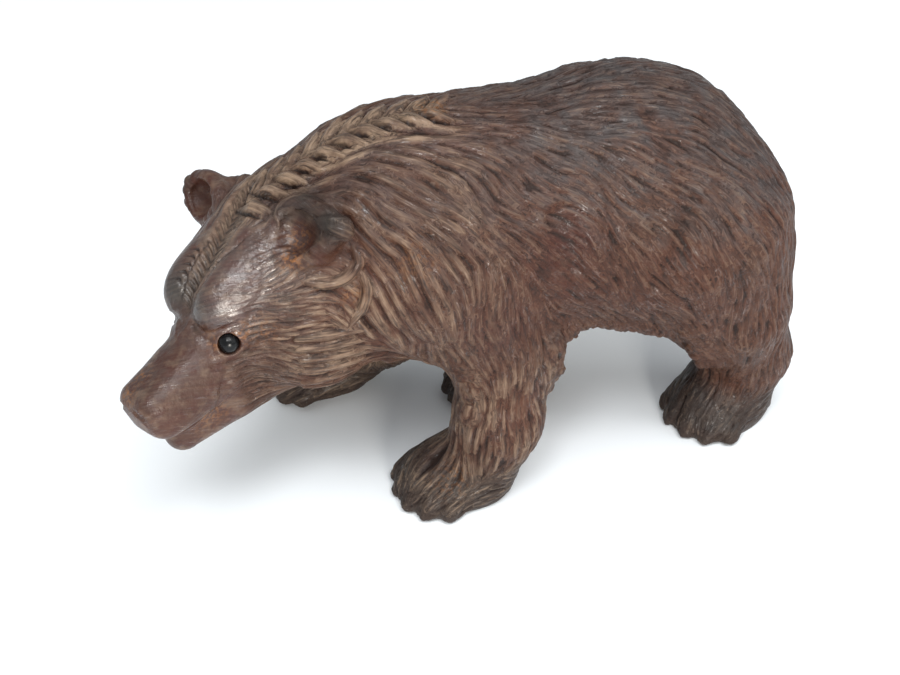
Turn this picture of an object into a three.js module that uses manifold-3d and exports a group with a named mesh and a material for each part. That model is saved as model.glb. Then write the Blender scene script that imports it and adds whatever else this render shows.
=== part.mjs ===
// A walking bear carved from one block of stained limewood, with two black glass eyes.
// The bear faces -X, its left side is towards -Y and +Z is up. Sizes are in millimetres.
// The carving is one closed surface: soft lumps of muscle are blended into each other,
// hollows are scooped out, locks of fur are raised, and the four soles are cut flat.
import * as THREE from "three";
import { mergeVertices } from "three/addons/utils/BufferGeometryUtils.js";
import Module from "manifold-3d";

const wasm = await Module();
wasm.setup();

// Driving dimensions.
const BEAR_LENGTH = 240; // nose to rump
const EYE_DIAMETER = 6.6; // glass bead
const EYE_PROUD = 1.9; // how far the bead stands out of its socket
const EYE_CLEARANCE = 0.3; // between the bead and the wood
const CELL = 2.5; // spacing of the sampling grid on the flanks
const FACETS = 7900; // triangles kept on the carving

// The pose and the carving are drawn for a bear 240 mm long and scale with the length.
const DRAWN_LENGTH = 240;
const S = BEAR_LENGTH / DRAWN_LENGTH;

const at = (x, y, z) => new THREE.Vector3(x, y, z).multiplyScalar(S);
const size = at;
const degrees = THREE.MathUtils.degToRad;

// Head: its own frame has +X towards the nose, +Y to the bear's left and +Z up.
const HEAD_PLACE = at(-62, -2, 95);
const HEAD_TURN = 30; // degrees to the bear's left
const HEAD_DIP = 16; // degrees below the horizontal
const HEAD_ROLL = 14; // degrees, left ear raised

function headMatrix() {
  const dip = new THREE.Matrix4().makeRotationY(degrees(HEAD_DIP));
  const roll = new THREE.Matrix4().makeRotationX(degrees(HEAD_ROLL));
  const turn = new THREE.Matrix4().makeRotationZ(degrees(180 + HEAD_TURN));
  const place = new THREE.Matrix4().setPosition(HEAD_PLACE);
  return place.multiply(turn).multiply(dip).multiply(roll);
}

const HEAD = headMatrix();
const onHead = (x, y, z) => at(x, y, z).applyMatrix4(HEAD);

function smoothMin(a, b, k) {
  const h = Math.max(k - Math.abs(a - b), 0) / k;
  return Math.min(a, b) - (h * h * k) / 4;
}

const smoothMax = (a, b, k) => -smoothMin(-a, -b, k);

// Distance to an ellipsoid, good near its surface. The turn is a quaternion.
function lump(centre, radii, turn = null) {
  const back = turn ? turn.clone().invert() : null;
  const q = new THREE.Vector3();
  return (p) => {
    q.copy(p).sub(centre);
    if (back) q.applyQuaternion(back);
    const x = q.x / radii.x;
    const y = q.y / radii.y;
    const z = q.z / radii.z;
    const k0 = Math.sqrt(x * x + y * y + z * z);
    if (k0 < 1e-6) return -Math.min(radii.x, radii.y, radii.z);
    const k1 = Math.hypot(x / radii.x, y / radii.y, z / radii.z);
    return (k0 * (k0 - 1)) / k1;
  };
}

// Distance to a limb: a round bar from a to b whose radius runs from ra to rb.
function limb(a, b, ra, rb) {
  const axis = b.clone().sub(a);
  const long = axis.lengthSq();
  const q = new THREE.Vector3();
  return (p) => {
    q.copy(p).sub(a);
    const t = THREE.MathUtils.clamp(q.dot(axis) / long, 0, 1);
    q.addScaledVector(axis, -t);
    return q.length() - THREE.MathUtils.lerp(ra, rb, t);
  };
}

// Distance to a box with rounded edges.
function block(centre, half, round, turn) {
  const back = turn.clone().invert();
  const q = new THREE.Vector3();
  return (p) => {
    q.copy(p).sub(centre).applyQuaternion(back);
    const x = Math.abs(q.x) - half.x + round;
    const y = Math.abs(q.y) - half.y + round;
    const z = Math.abs(q.z) - half.z + round;
    const outside = Math.hypot(Math.max(x, 0), Math.max(y, 0), Math.max(z, 0));
    return outside + Math.min(Math.max(x, y, z), 0) - round;
  };
}

const HEAD_TURNED = new THREE.Quaternion().setFromRotationMatrix(HEAD);

function headLump(x, y, z, rx, ry, rz) {
  return lump(onHead(x, y, z), size(rx, ry, rz), HEAD_TURNED);
}

function headBlock(x, y, z, hx, hy, hz, round) {
  return block(onHead(x, y, z), size(hx, hy, hz), round * S, HEAD_TURNED);
}

function headLimb(from, to, ra, rb) {
  return limb(onHead(...from), onHead(...to), ra * S, rb * S);
}

// Each entry is a shape and the width over which it blends into what is there.
const torso = [
  [lump(at(61, 0, 90), size(40, 35.5, 43)), 1],
  [lump(at(84, -12, 71), size(25, 22, 30)), 16 * S],
  [lump(at(80, 12, 71), size(25, 22, 30)), 16 * S],
  [lump(at(26, 0, 98), size(58, 35.5, 38)), 30 * S],
  [lump(at(-20, 0, 96.5), size(38, 33, 38.3)), 26 * S],
  [lump(at(-38, 0, 92), size(22, 27, 25)), 20 * S],
  [limb(at(-36, -1, 102), at(-58, -3, 95), 26.5 * S, 25 * S), 20 * S],
];

const headLumps = [
  [headLump(4, 0.6, 0, 30, 26.4, 23), 14 * S],
  [headLump(22, 8.5, 11, 17, 9, 9.5), 6 * S],
  [headLump(22, -9.3, 11, 17, 8.5, 9.5), 6 * S],
  [headLimb([34, 0, -6], [57, 0, -9], 15, 10.5), 10 * S],
  [headBlock(58.5, 0, -6.4, 12.5, 10, 8.9, 6), 5 * S],
  [headLimb([18, 0, -23], [60, -5, -24.5], 14, 6.2), 7 * S],
  [headLump(8, 17, -17, 21, 12, 18), 12 * S],
  [headLump(8, -17, -17, 21, 12, 18), 12 * S],
];

// A leg is a chain of bars through joints, each given as a place and a radius.
function leg(joints) {
  const bars = [];
  for (let i = 1; i < joints.length; i++) {
    const [a, ra] = joints[i - 1];
    const [b, rb] = joints[i];
    bars.push([limb(a, b, ra * S, rb * S), (i === 1 ? 18 : 8) * S]);
  }
  return bars;
}

const legs = [
  ...leg([[at(-18, -19, 92), 23], [at(4, -23, 58), 17], [at(1, -29, 30), 14], [at(-6, -30, 8), 13]]),
  ...leg([[at(-20, 19, 94), 22], [at(-4, 28, 54), 17], [at(-18, 37, 24), 12], [at(-37, 42, 9), 12]]),
  ...leg([[at(76, -18, 84), 29], [at(89, -23, 54), 19], [at(101, -20, 28), 15], [at(100, -19, 8), 13]]),
  ...leg([[at(66, 18, 82), 28], [at(48, 20, 50), 18], [at(30, 19, 26), 13.5], [at(26, 18, 8), 12]]),
];

// A paw is a dome with a broad heel and five toes spread over its front, each with a claw.
function paw(x, y, heading, length, width, rise) {
  const turn = new THREE.Quaternion().setFromAxisAngle(new THREE.Vector3(0, 0, 1), degrees(heading));
  const place = (f, s, z) => at(f, s, z).applyQuaternion(turn).add(at(x, y, 0));
  const made = [
    [lump(place(0, 0, 4), size(length / 2, width / 2, rise), turn), 7 * S],
    [lump(place(-length * 0.26, 0, 5), size(length * 0.26, width * 0.4, 13), turn), 5 * S],
  ];
  for (let i = -2; i <= 2; i++) {
    const spread = degrees(i * 25);
    const [ahead, aside] = [Math.cos(spread), Math.sin(spread)];
    const knuckle = place(ahead * length * 0.3, aside * width * 0.42, 6);
    const tip = place(ahead * length * 0.46, aside * width * 0.52, 3.5);
    const claw = place(ahead * length * 0.46 + 2.6 * ahead, aside * width * 0.52 + 2.2 * aside, 2);
    made.push([limb(knuckle, tip, 4.8 * S, 4 * S), 1.2 * S]);
    made.push([limb(tip, claw, 2.6 * S, 1.7 * S), 0.8 * S]);
  }
  return made;
}

const paws = [
  ...paw(-15.5, -26, 180 + 24, 38, 31, 13.5),
  ...paw(-47, 43, 180 + 8, 35, 26, 13),
  ...paw(93.5, -19.5, 180 + 30, 41, 33, 17),
  ...paw(17, 17, 180 - 10, 36, 28, 14),
];

// An ear is a cup that stands out sideways from the skull and runs to a blunt tip, with a
// root that runs back into the neck. It is hollow near the skull and solid further out.
function ear(side, rise) {
  const face = new THREE.Vector3(0.78, side * 0.12, 0.6).normalize();
  const tip = new THREE.Vector3(0.14, side, 0.3);
  const across = new THREE.Vector3().crossVectors(tip, face).normalize();
  tip.crossVectors(face, across);
  const basis = new THREE.Matrix4().makeBasis(face, across, tip);
  const turn = HEAD_TURNED.clone().multiply(new THREE.Quaternion().setFromRotationMatrix(basis));
  const middle = onHead(2, side * 27 - 1.5, 18.5 + rise);
  const place = (f, a, t) => at(f, a, t).applyQuaternion(turn).add(middle);
  return {
    cup: lump(middle, size(6, 9.3, 12), turn),
    tip: limb(place(-1, 0, 2), place(-1.5, -1, 12.5), 6.2 * S, 3.2 * S),
    root: headLimb([0, side * 30, 19], [-8, side * 21, 15.5], 4.6, 4),
    hollow: lump(place(5.6, 0.5, -1), size(7, 6.6, 8), turn),
  };
}

const ears = [ear(1, 1.2), ear(-1, -0.6)];

const TAIL = limb(at(99, -1, 84), at(106, -2, 66), 7 * S, 4.5 * S);

// The smooth body, before any fur is carved.
function bodyDistance(p) {
  let d = Infinity;
  for (const [shape, blend] of torso) d = smoothMin(d, shape(p), blend);
  for (const [shape, blend] of legs) d = smoothMin(d, shape(p), blend);
  for (const [shape, blend] of paws) d = smoothMin(d, shape(p), blend);
  for (const [shape, blend] of headLumps) d = smoothMin(d, shape(p), blend);
  d = smoothMin(d, TAIL(p), 4 * S);
  for (const { cup } of ears) d = smoothMin(d, cup(p), 5 * S);
  for (const { tip, root } of ears) d = smoothMin(d, Math.min(tip(p), root(p)), 3 * S);
  for (const { hollow } of ears) d = smoothMax(d, -hollow(p), 2 * S);
  return Math.max(d, -2 * S - p.z);
}

function slopeOf(distance, p, out) {
  const step = 0.05 * S;
  const q = new THREE.Vector3();
  const d = distance(p);
  out.set(
    distance(q.set(p.x + step, p.y, p.z)) - d,
    distance(q.set(p.x, p.y + step, p.z)) - d,
    distance(q.set(p.x, p.y, p.z + step)) - d,
  );
  out.divideScalar(step);
  return d;
}

// Moves a point onto the surface along the slope of the distance.
function settle(p, distance, rounds = 3) {
  const slope = new THREE.Vector3();
  for (let round = 0; round < rounds; round++) {
    const d = slopeOf(distance, p, slope);
    p.addScaledVector(slope, -d / Math.max(slope.lengthSq(), 0.25));
  }
  return p;
}

function outwardAt(p) {
  const slope = new THREE.Vector3();
  slopeOf(bodyDistance, p, slope);
  return slope.normalize();
}

// Locks and cuts are kept by the block of space that they reach, so each point of the
// surface asks only the near ones.
const BLOCK = 12 * S;
const carved = new Map();
const blockKey = (i, j, k) => (i + 512) * 1048576 + (j + 512) * 1024 + (k + 512);

function carve(bars, ends, reach, kind, blend) {
  const box = new THREE.Box3().setFromPoints(ends).expandByScalar(reach + blend + 4 * S);
  const from = box.min.divideScalar(BLOCK).floor();
  const to = box.max.divideScalar(BLOCK).floor();
  const entry = { bars, kind, blend };
  for (let i = from.x; i <= to.x; i++)
    for (let j = from.y; j <= to.y; j++)
      for (let k = from.z; k <= to.z; k++) {
        const key = blockKey(i, j, k);
        if (!carved.has(key)) carved.set(key, []);
        carved.get(key).push(entry);
      }
}

// A strand lies along the surface through some places. Each has its half width. The strand
// stands out of the wood by "relief", or is cut that deep where the relief is negative.
function strand(places, widths, relief, blend = 1.2) {
  const cut = relief < 0;
  const bars = [];
  const axis = [];
  const steps = 3 * (places.length - 1);
  for (let i = 0; i <= steps; i++) {
    const n = Math.min(Math.floor(i / 3), places.length - 2);
    const share = i / 3 - n;
    const p = settle(places[n].clone().lerp(places[n + 1], share), bodyDistance, 4);
    const width = THREE.MathUtils.lerp(widths[n], widths[n + 1], share);
    const rise = cut ? width + relief : relief - width;
    axis.push(p.addScaledVector(outwardAt(p), rise * S));
    if (i > 0) bars.push(limb(axis[i - 1], p, bars.width, width * S));
    bars.width = width * S;
  }
  carve(bars, axis, Math.max(...widths) * S, cut ? "cut" : "raised", blend * S);
}

// A tuft starts in the surface and its end stands free.
function tuft(place, direction, length, width) {
  const root = settle(place.clone(), bodyDistance, 4);
  const out = outwardAt(root);
  const way = direction.clone().normalize();
  root.addScaledVector(out, -width * 0.5 * S);
  const end = root.clone().addScaledVector(way, length * S);
  carve([limb(root, end, width * S, width * 0.4 * S)], [root, end], width * S, "raised", 3 * S);
}

function woodDistance(p) {
  let d = bodyDistance(p);
  if (Math.abs(d) > 9 * S) return d;
  const near = carved.get(
    blockKey(Math.floor(p.x / BLOCK), Math.floor(p.y / BLOCK), Math.floor(p.z / BLOCK)),
  );
  if (!near) return d;
  for (const kind of ["raised", "cut"])
    for (const entry of near) {
      if (entry.kind !== kind) continue;
      let e = Infinity;
      for (const bar of entry.bars) e = Math.min(e, bar(p));
      d = kind === "raised" ? smoothMin(d, e, entry.blend) : smoothMax(d, -e, entry.blend);
    }
  return Math.max(d, -2 * S - p.z);
}

// The fur's lie: at some places of the left side, the way that the coat runs there.
const LIE = [
  [[-58, -10, 124], [0.8, -0.5, -0.1]], [[-48, -30, 112], [0.5, -0.3, -0.8]],
  [[-52, -34, 92], [0.5, 0.1, -0.85]], [[-14, -3, 139], [1, -0.25, 0]],
  [[-11, -30, 123], [0.8, -0.35, -0.5]], [[-26, -40, 106], [0.45, -0.1, -0.9]],
  [[-5, -43, 86], [0.3, -0.1, -0.95]], [[30, -3, 137], [1, -0.2, 0]],
  [[20, -30, 122], [0.9, -0.2, -0.3]], [[30, -38, 100], [0.8, 0, -0.6]],
  [[35, -33, 70], [0.85, 0.2, -0.5]], [[60, -6, 136], [0.95, -0.3, -0.1]],
  [[68, -36, 114], [0.7, -0.1, -0.7]], [[75, -46, 93], [0.45, 0, -0.9]],
  [[92, -16, 118], [0.6, -0.2, -0.75]], [[104, -8, 95], [0.15, -0.1, -1]],
  [[96, -34, 90], [0.2, -0.1, -1]], [[84, -44, 64], [0.05, 0, -1]],
  [[-24, -42, 80], [0.2, 0, -1]], [[0, -38, 50], [0.1, 0, -1]],
  [[98, -30, 40], [0, 0, -1]],
];

function lieAt(p) {
  const side = p.y > 0 ? -1 : 1;
  const out = new THREE.Vector3();
  for (const [[x, y, z], [dx, dy, dz]] of LIE) {
    const away = (p.x / S - x) ** 2 + (p.y / S - side * y) ** 2 + (p.z / S - z) ** 2;
    out.addScaledVector(new THREE.Vector3(dx, side * dy, dz).normalize(), 1 / (away + 30) ** 2);
  }
  return out.normalize();
}

// A lock follows the fur's lie from a place on the body.
function lock(place, length, width, relief) {
  const steps = 4;
  const places = [settle(place.clone(), bodyDistance, 4)];
  for (let i = 1; i < steps; i++) {
    const last = places[i - 1];
    const way = lieAt(last);
    const out = outwardAt(last);
    way.addScaledVector(out, -way.dot(out)).normalize();
    places.push(settle(last.clone().addScaledVector(way, (length * S) / (steps - 1)), bodyDistance, 3));
  }
  strand(places, [0.6, 1, 0.9, 0.3].map((share) => share * width), relief, 1);
}

// Goes from a place inside the body straight out to its surface.
function castOut(from, way) {
  const p = from.clone();
  for (let step = 0; step < 60; step++) {
    const d = bodyDistance(p);
    if (d > -0.05 * S) break;
    p.addScaledVector(way, Math.max(-d * 0.8, 0.1 * S));
  }
  return p;
}

const LOCK_LENGTH = 19;
const LOCK_WIDTH = 2.7;
const LOCK_RELIEF = 1.1;
const TUFT_LENGTH = 5.5;
const TUFT_WIDTH = 3.4; // half of its root

// Rows of locks round the trunk. Past the haunch the rows turn to cover the rear.
function coat() {
  const rows = [];
  for (let x = -46; x <= 62; x += 13.5) rows.push({ x, tilt: 0 });
  for (let tilt = 18; tilt <= 72; tilt += 18) rows.push({ x: 62, tilt });
  rows.forEach(({ x, tilt }, row) => {
    const count = Math.max(Math.round(17 * Math.cos(degrees(tilt))), 3);
    for (let i = 0; i < count; i++) {
      const turn = degrees(-112 + (224 * (i + (row % 2 ? 0.75 : 0.25))) / count);
      const flat = Math.cos(degrees(tilt));
      const way = new THREE.Vector3(Math.sin(degrees(tilt)), Math.sin(turn) * flat, Math.cos(turn) * flat);
      const start = castOut(at(x, 0, 92), way.normalize());
      if (Math.abs(start.y) < 6 * S && x < 0) continue;
      lock(start, LOCK_LENGTH, LOCK_WIDTH, LOCK_RELIEF);
    }
  });
}

// The mane's ridge: leaf-like locks that lean out by turns from between the ears to the hump.
const RIDGE = [
  [-76, -4.5, 116], [-66, -1.5, 121], [-54, 0, 127], [-40, 0.5, 134], [-26, 0, 137.5], [-12, 0, 139],
];

function maneRidge() {
  const line = new THREE.CatmullRomCurve3(RIDGE.map((place) => at(...place)));
  const pairs = 10;
  for (let i = 0; i < pairs; i++)
    for (const side of [-1, 1]) {
      const root = line.getPointAt(Math.min((i + (side > 0 ? 0.5 : 0)) / pairs, 1));
      const middle = root.clone().add(at(5, side * 3.2, 0.5));
      const end = root.clone().add(at(10, side * 7.5, -1));
      strand([root, middle, end], [1.3, 2.9, 0.9], 2.1, 0.8);
    }
}

// Cuts and curls of the head, in its own frame. The carver's middle line lies a little to
// the right, so the two sides are given by their distance from that line.
const FACE_MIDDLE = -1;
const facePlace = (side) => ([x, y, z]) => onHead(x, side * y + FACE_MIDDLE, z);

function face() {
  strand([[-2, 1, 27], [10, 0.5, 25], [25, 0, 19], [37, 0, 12]].map(facePlace(1)), [3, 3.4, 3, 2.2], -1.6, 1);
  for (const side of [1, -1]) {
    const line = (...places) => places.map(facePlace(side));
    strand(line([40, 5, 8], [41, 11, 5.5], [36, 16, 5], [27, 20, 6]), [1.6, 1.8, 1.8, 1.2], -1, 0.8);
    strand(line([70, 0, -14], [66, 7, -15], [60, 10.5, -17], [51, 10, -20]), [1.4, 1.5, 1.5, 1], -1.2, 0.6);
    strand(line([42, 14.5, -6], [46, 13.3, -11], [50, 11, -17]), [1.4, 2, 1.4], -0.8, 1);
    strand(line([44, 13, -1.5], [40.5, 15.5, -5], [34, 18, -4]), [1, 1.3, 1], -0.7, 0.6);
    strand(line([69, 4, -3], [68, 6.5, -4]), [1.6, 1.1], -1.3, 0.5);
    strand(line([-4, 36, 10.7], [-2, 38, 6.5], [3, 35.5, 4], [8, 32, 5], [12, 29, 8]), [1, 2.2, 2.3, 2, 0.8], 1.8, 0.8);
    strand(line([-1, 39, 4], [1, 40, -1.5], [4.6, 38, -7], [9, 34.5, -11.2]), [1, 2.2, 2.2, 0.8], 1.7, 0.8);
    // The ruff: strands fan back and down from the cheek to its edge.
    for (let i = 0; i < 6; i++) {
      const t = i / 5;
      const root = [24 - 2 * t, 28 - 11 * t, -6 - 20 * t];
      const middle = [16 - t, 33 - 12 * t, -10 - 20 * t];
      const end = [7 + t, 36 - 13 * t, -15 - 19 * t];
      strand(line(root, middle, end), [1.2, 2.3, 0.8], 1.2, 0.8);
    }
  }
}

// The broad hollows: one behind each shoulder, and a valley between flank and haunch.
function hollows() {
  for (const side of [-1, 1]) {
    const line = (...places) => places.map(([x, y, z]) => at(x, side * y, z));
    strand(line([17, 36, 114], [20, 37, 96]), [12, 11], -1.3, 4);
    const valley = line([52, 18, 135], [56, 28, 127], [59, 36, 115], [57, 41, 102], [50, 40, 86]);
    strand(valley, [7, 9, 9, 9, 7], -1.2, 4);
  }
}

// Fringes: behind the elbows, under the belly and down the front of the thighs.
function fringes() {
  const back = new THREE.Vector3(0.85, 0, -0.55);
  const under = new THREE.Vector3(0.6, 0, -0.8);
  const front = new THREE.Vector3(-0.75, 0, -0.65);
  const lines = [
    [[16, -36, 64], [17, -30, 42], 5, back], [[12, 28, 64], [6, 29, 42], 5, back],
    [[28, -30, 60], [58, -28, 60], 6, under], [[24, 28, 60], [40, 26, 60], 4, under],
    [[70, -34, 64], [83, -28, 44], 5, front], [[34, 26, 58], [20, 24, 36], 5, front],
    [[-16, -36, 66], [-12, -34, 40], 4, under], [[-34, -20, 70], [-34, 20, 70], 5, under],
  ];
  for (const [from, to, count, way] of lines)
    for (let i = 0; i < count; i++) tuft(at(...from).lerp(at(...to), i / (count - 1)), way, TUFT_LENGTH, TUFT_WIDTH);
}

hollows();
coat();
maneRidge();
face();
fringes();

// The surface mesh is finer round the head and the paws: there the sampling grid is drawn
// in towards a centre, over a radius and by a share. Wide zones come first.
const FINE_ZONES = [];

function addFineZone(centre, radius, pull) {
  // The centre's place in the grid, before the wider zones have drawn it in.
  const home = centre.clone();
  const seen = new THREE.Vector3();
  for (let round = 0; round < 30; round++) home.add(centre).sub(drawnIn(home, seen));
  FINE_ZONES.push({ home, radius, pull });
}

function drawnIn(q, out) {
  out.copy(q);
  for (let n = FINE_ZONES.length - 1; n >= 0; n--) {
    const { home, radius, pull } = FINE_ZONES[n];
    const near = pull * Math.exp(-out.distanceToSquared(home) / (radius * radius));
    out.x -= near * (out.x - home.x);
    out.y -= near * (out.y - home.y);
    out.z -= near * (out.z - home.z);
  }
  return out;
}

addFineZone(onHead(26, 0, 0), 58 * S, 0.52);
addFineZone(onHead(3, 27, 19), 18 * S, 0.45);
addFineZone(onHead(4, -30, 19), 18 * S, 0.45);
for (const [x, y] of [[-22, -28], [-52, 39], [84, -22], [12, 18]]) addFineZone(at(x, y, 5), 26 * S, 0.4);

// Where only two opposite corners of a grid square are in the wood, two sheets of the surface
// would touch along an edge. The corner that is nearest to the wood is filled in there.
function joinTouching(value, steps) {
  const last = value.length - steps[0] - steps[1] - steps[2];
  let changed = true;
  while (changed) {
    changed = false;
    for (const [u, v] of [[steps[0], steps[1]], [steps[1], steps[2]], [steps[2], steps[0]]])
      for (let n = 0; n < last; n++) {
        const inside = value[n] <= 0;
        if (inside !== value[n + u + v] <= 0) continue;
        if (inside === value[n + u] <= 0 || inside === value[n + v] <= 0) continue;
        const [a, b] = inside ? [n + u, n + v] : [n, n + u + v];
        value[value[a] < value[b] ? a : b] = -0.01 * S;
        changed = true;
      }
  }
}

// Surface nets: one vertex for each grid cell that the surface crosses, and one quad
// for each grid edge that it crosses.
function surfaceOf(distance, low, high, cell) {
  const count = ["x", "y", "z"].map((k) => Math.ceil((high[k] - low[k]) / cell) + 1);
  const [nx, ny, nz] = count;
  const index = (i, j, k) => i + nx * (j + ny * k);
  const value = new Float64Array(nx * ny * nz);
  const q = new THREE.Vector3();
  const p = new THREE.Vector3();
  for (let k = 0; k < nz; k++)
    for (let j = 0; j < ny; j++)
      for (let i = 0; i < nx; i++) {
        q.set(low.x + i * cell, low.y + j * cell, low.z + k * cell);
        value[index(i, j, k)] = distance(drawnIn(q, p));
      }
  const steps = [index(1, 0, 0), index(0, 1, 0), index(0, 0, 1)];
  joinTouching(value, steps);
  const corners = [];
  for (let c = 0; c < 8; c++) corners.push([c & 1, (c >> 1) & 1, (c >> 2) & 1]);
  const positions = [];
  const vertexOf = new Map();
  for (let k = 0; k < nz - 1; k++)
    for (let j = 0; j < ny - 1; j++)
      for (let i = 0; i < nx - 1; i++) {
        const values = corners.map(([a, b, c]) => value[index(i + a, j + b, k + c)]);
        if (values.every((v) => v > 0) || values.every((v) => v <= 0)) continue;
        q.set(0, 0, 0);
        let crossings = 0;
        for (let a = 0; a < 8; a++)
          for (const bit of [1, 2, 4]) {
            const b = a | bit;
            if (a === b || values[a] > 0 === values[b] > 0) continue;
            const t = values[a] / (values[a] - values[b]);
            q.x += corners[a][0] + t * (corners[b][0] - corners[a][0]);
            q.y += corners[a][1] + t * (corners[b][1] - corners[a][1]);
            q.z += corners[a][2] + t * (corners[b][2] - corners[a][2]);
            crossings++;
          }
        q.divideScalar(crossings);
        q.set(low.x + (i + q.x) * cell, low.y + (j + q.y) * cell, low.z + (k + q.z) * cell);
        drawnIn(q, p);
        settle(p, distance);
        vertexOf.set(index(i, j, k), positions.length / 3);
        positions.push(p.x, p.y, p.z);
      }
  const faces = [];
  for (let axis = 0; axis < 3; axis++) {
    const [u, v] = [steps[(axis + 1) % 3], steps[(axis + 2) % 3]];
    for (let k = 1; k < nz - 1; k++)
      for (let j = 1; j < ny - 1; j++)
        for (let i = 1; i < nx - 1; i++) {
          const here = index(i, j, k);
          const inside = value[here] <= 0;
          if (inside === value[here + steps[axis]] <= 0) continue;
          const ring = [here - u - v, here - v, here, here - u].map((n) => vertexOf.get(n));
          if (!inside) ring.reverse();
          faces.push(ring);
        }
  }
  return { positions, faces };
}

// Splits each quad along its shorter diagonal.
function trianglesOf({ positions, faces }) {
  const gap = (a, b) =>
    Math.hypot(
      positions[3 * a] - positions[3 * b],
      positions[3 * a + 1] - positions[3 * b + 1],
      positions[3 * a + 2] - positions[3 * b + 2],
    );
  const triangles = [];
  for (const [a, b, c, d] of faces) {
    if (gap(a, c) < gap(b, d)) triangles.push([a, b, c], [a, c, d]);
    else triangles.push([a, b, d], [b, c, d]);
  }
  return largest(triangles);
}

// Keeps the one surface with the most triangles, going from each over its edges.
function largest(triangles) {
  const parent = triangles.map((_, t) => t);
  const find = (t) => {
    while (parent[t] !== t) {
      parent[t] = parent[parent[t]];
      t = parent[t];
    }
    return t;
  };
  const across = new Map();
  const count = triangles.reduce((most, triangle) => Math.max(most, ...triangle), 0) + 1;
  triangles.forEach((triangle, t) => {
    for (let e = 0; e < 3; e++) {
      const a = triangle[e];
      const b = triangle[(e + 1) % 3];
      const key = Math.min(a, b) * count + Math.max(a, b);
      if (across.has(key)) parent[find(t)] = find(across.get(key));
      else across.set(key, t);
    }
  });
  const groups = new Map();
  triangles.forEach((triangle, t) => {
    const root = find(t);
    if (!groups.has(root)) groups.set(root, []);
    groups.get(root).push(triangle);
  });
  return [...groups.values()].reduce((a, b) => (a.length > b.length ? a : b));
}

// The sum of squared distances to a set of planes, as the ten terms of its matrix.
class Planes {
  constructor() {
    this.q = new Float64Array(10);
  }
  addPlane(n, d, weight) {
    const row = [n.x, n.y, n.z, d];
    let term = 0;
    for (let i = 0; i < 4; i++) for (let j = i; j < 4; j++) this.q[term++] += weight * row[i] * row[j];
  }
  sum(other) {
    const both = new Planes();
    for (let i = 0; i < 10; i++) both.q[i] = this.q[i] + other.q[i];
    return both;
  }
  at(p) {
    const row = [p.x, p.y, p.z, 1];
    let total = 0;
    let term = 0;
    for (let i = 0; i < 4; i++)
      for (let j = i; j < 4; j++) total += (i === j ? 1 : 2) * this.q[term++] * row[i] * row[j];
    return total;
  }
  // The point with the least sum, or null where the planes don't settle one.
  lowest() {
    const [xx, xy, xz, xw, yy, yz, yw, zz, zw] = this.q;
    const m = new THREE.Matrix3().set(xx, xy, xz, xy, yy, yz, xz, yz, zz);
    const scale = Math.max(xx, yy, zz);
    if (Math.abs(m.determinant()) < 1e-4 * scale * scale * scale) return null;
    return new THREE.Vector3(-xw, -yw, -zw).applyMatrix3(m.invert());
  }
}

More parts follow.
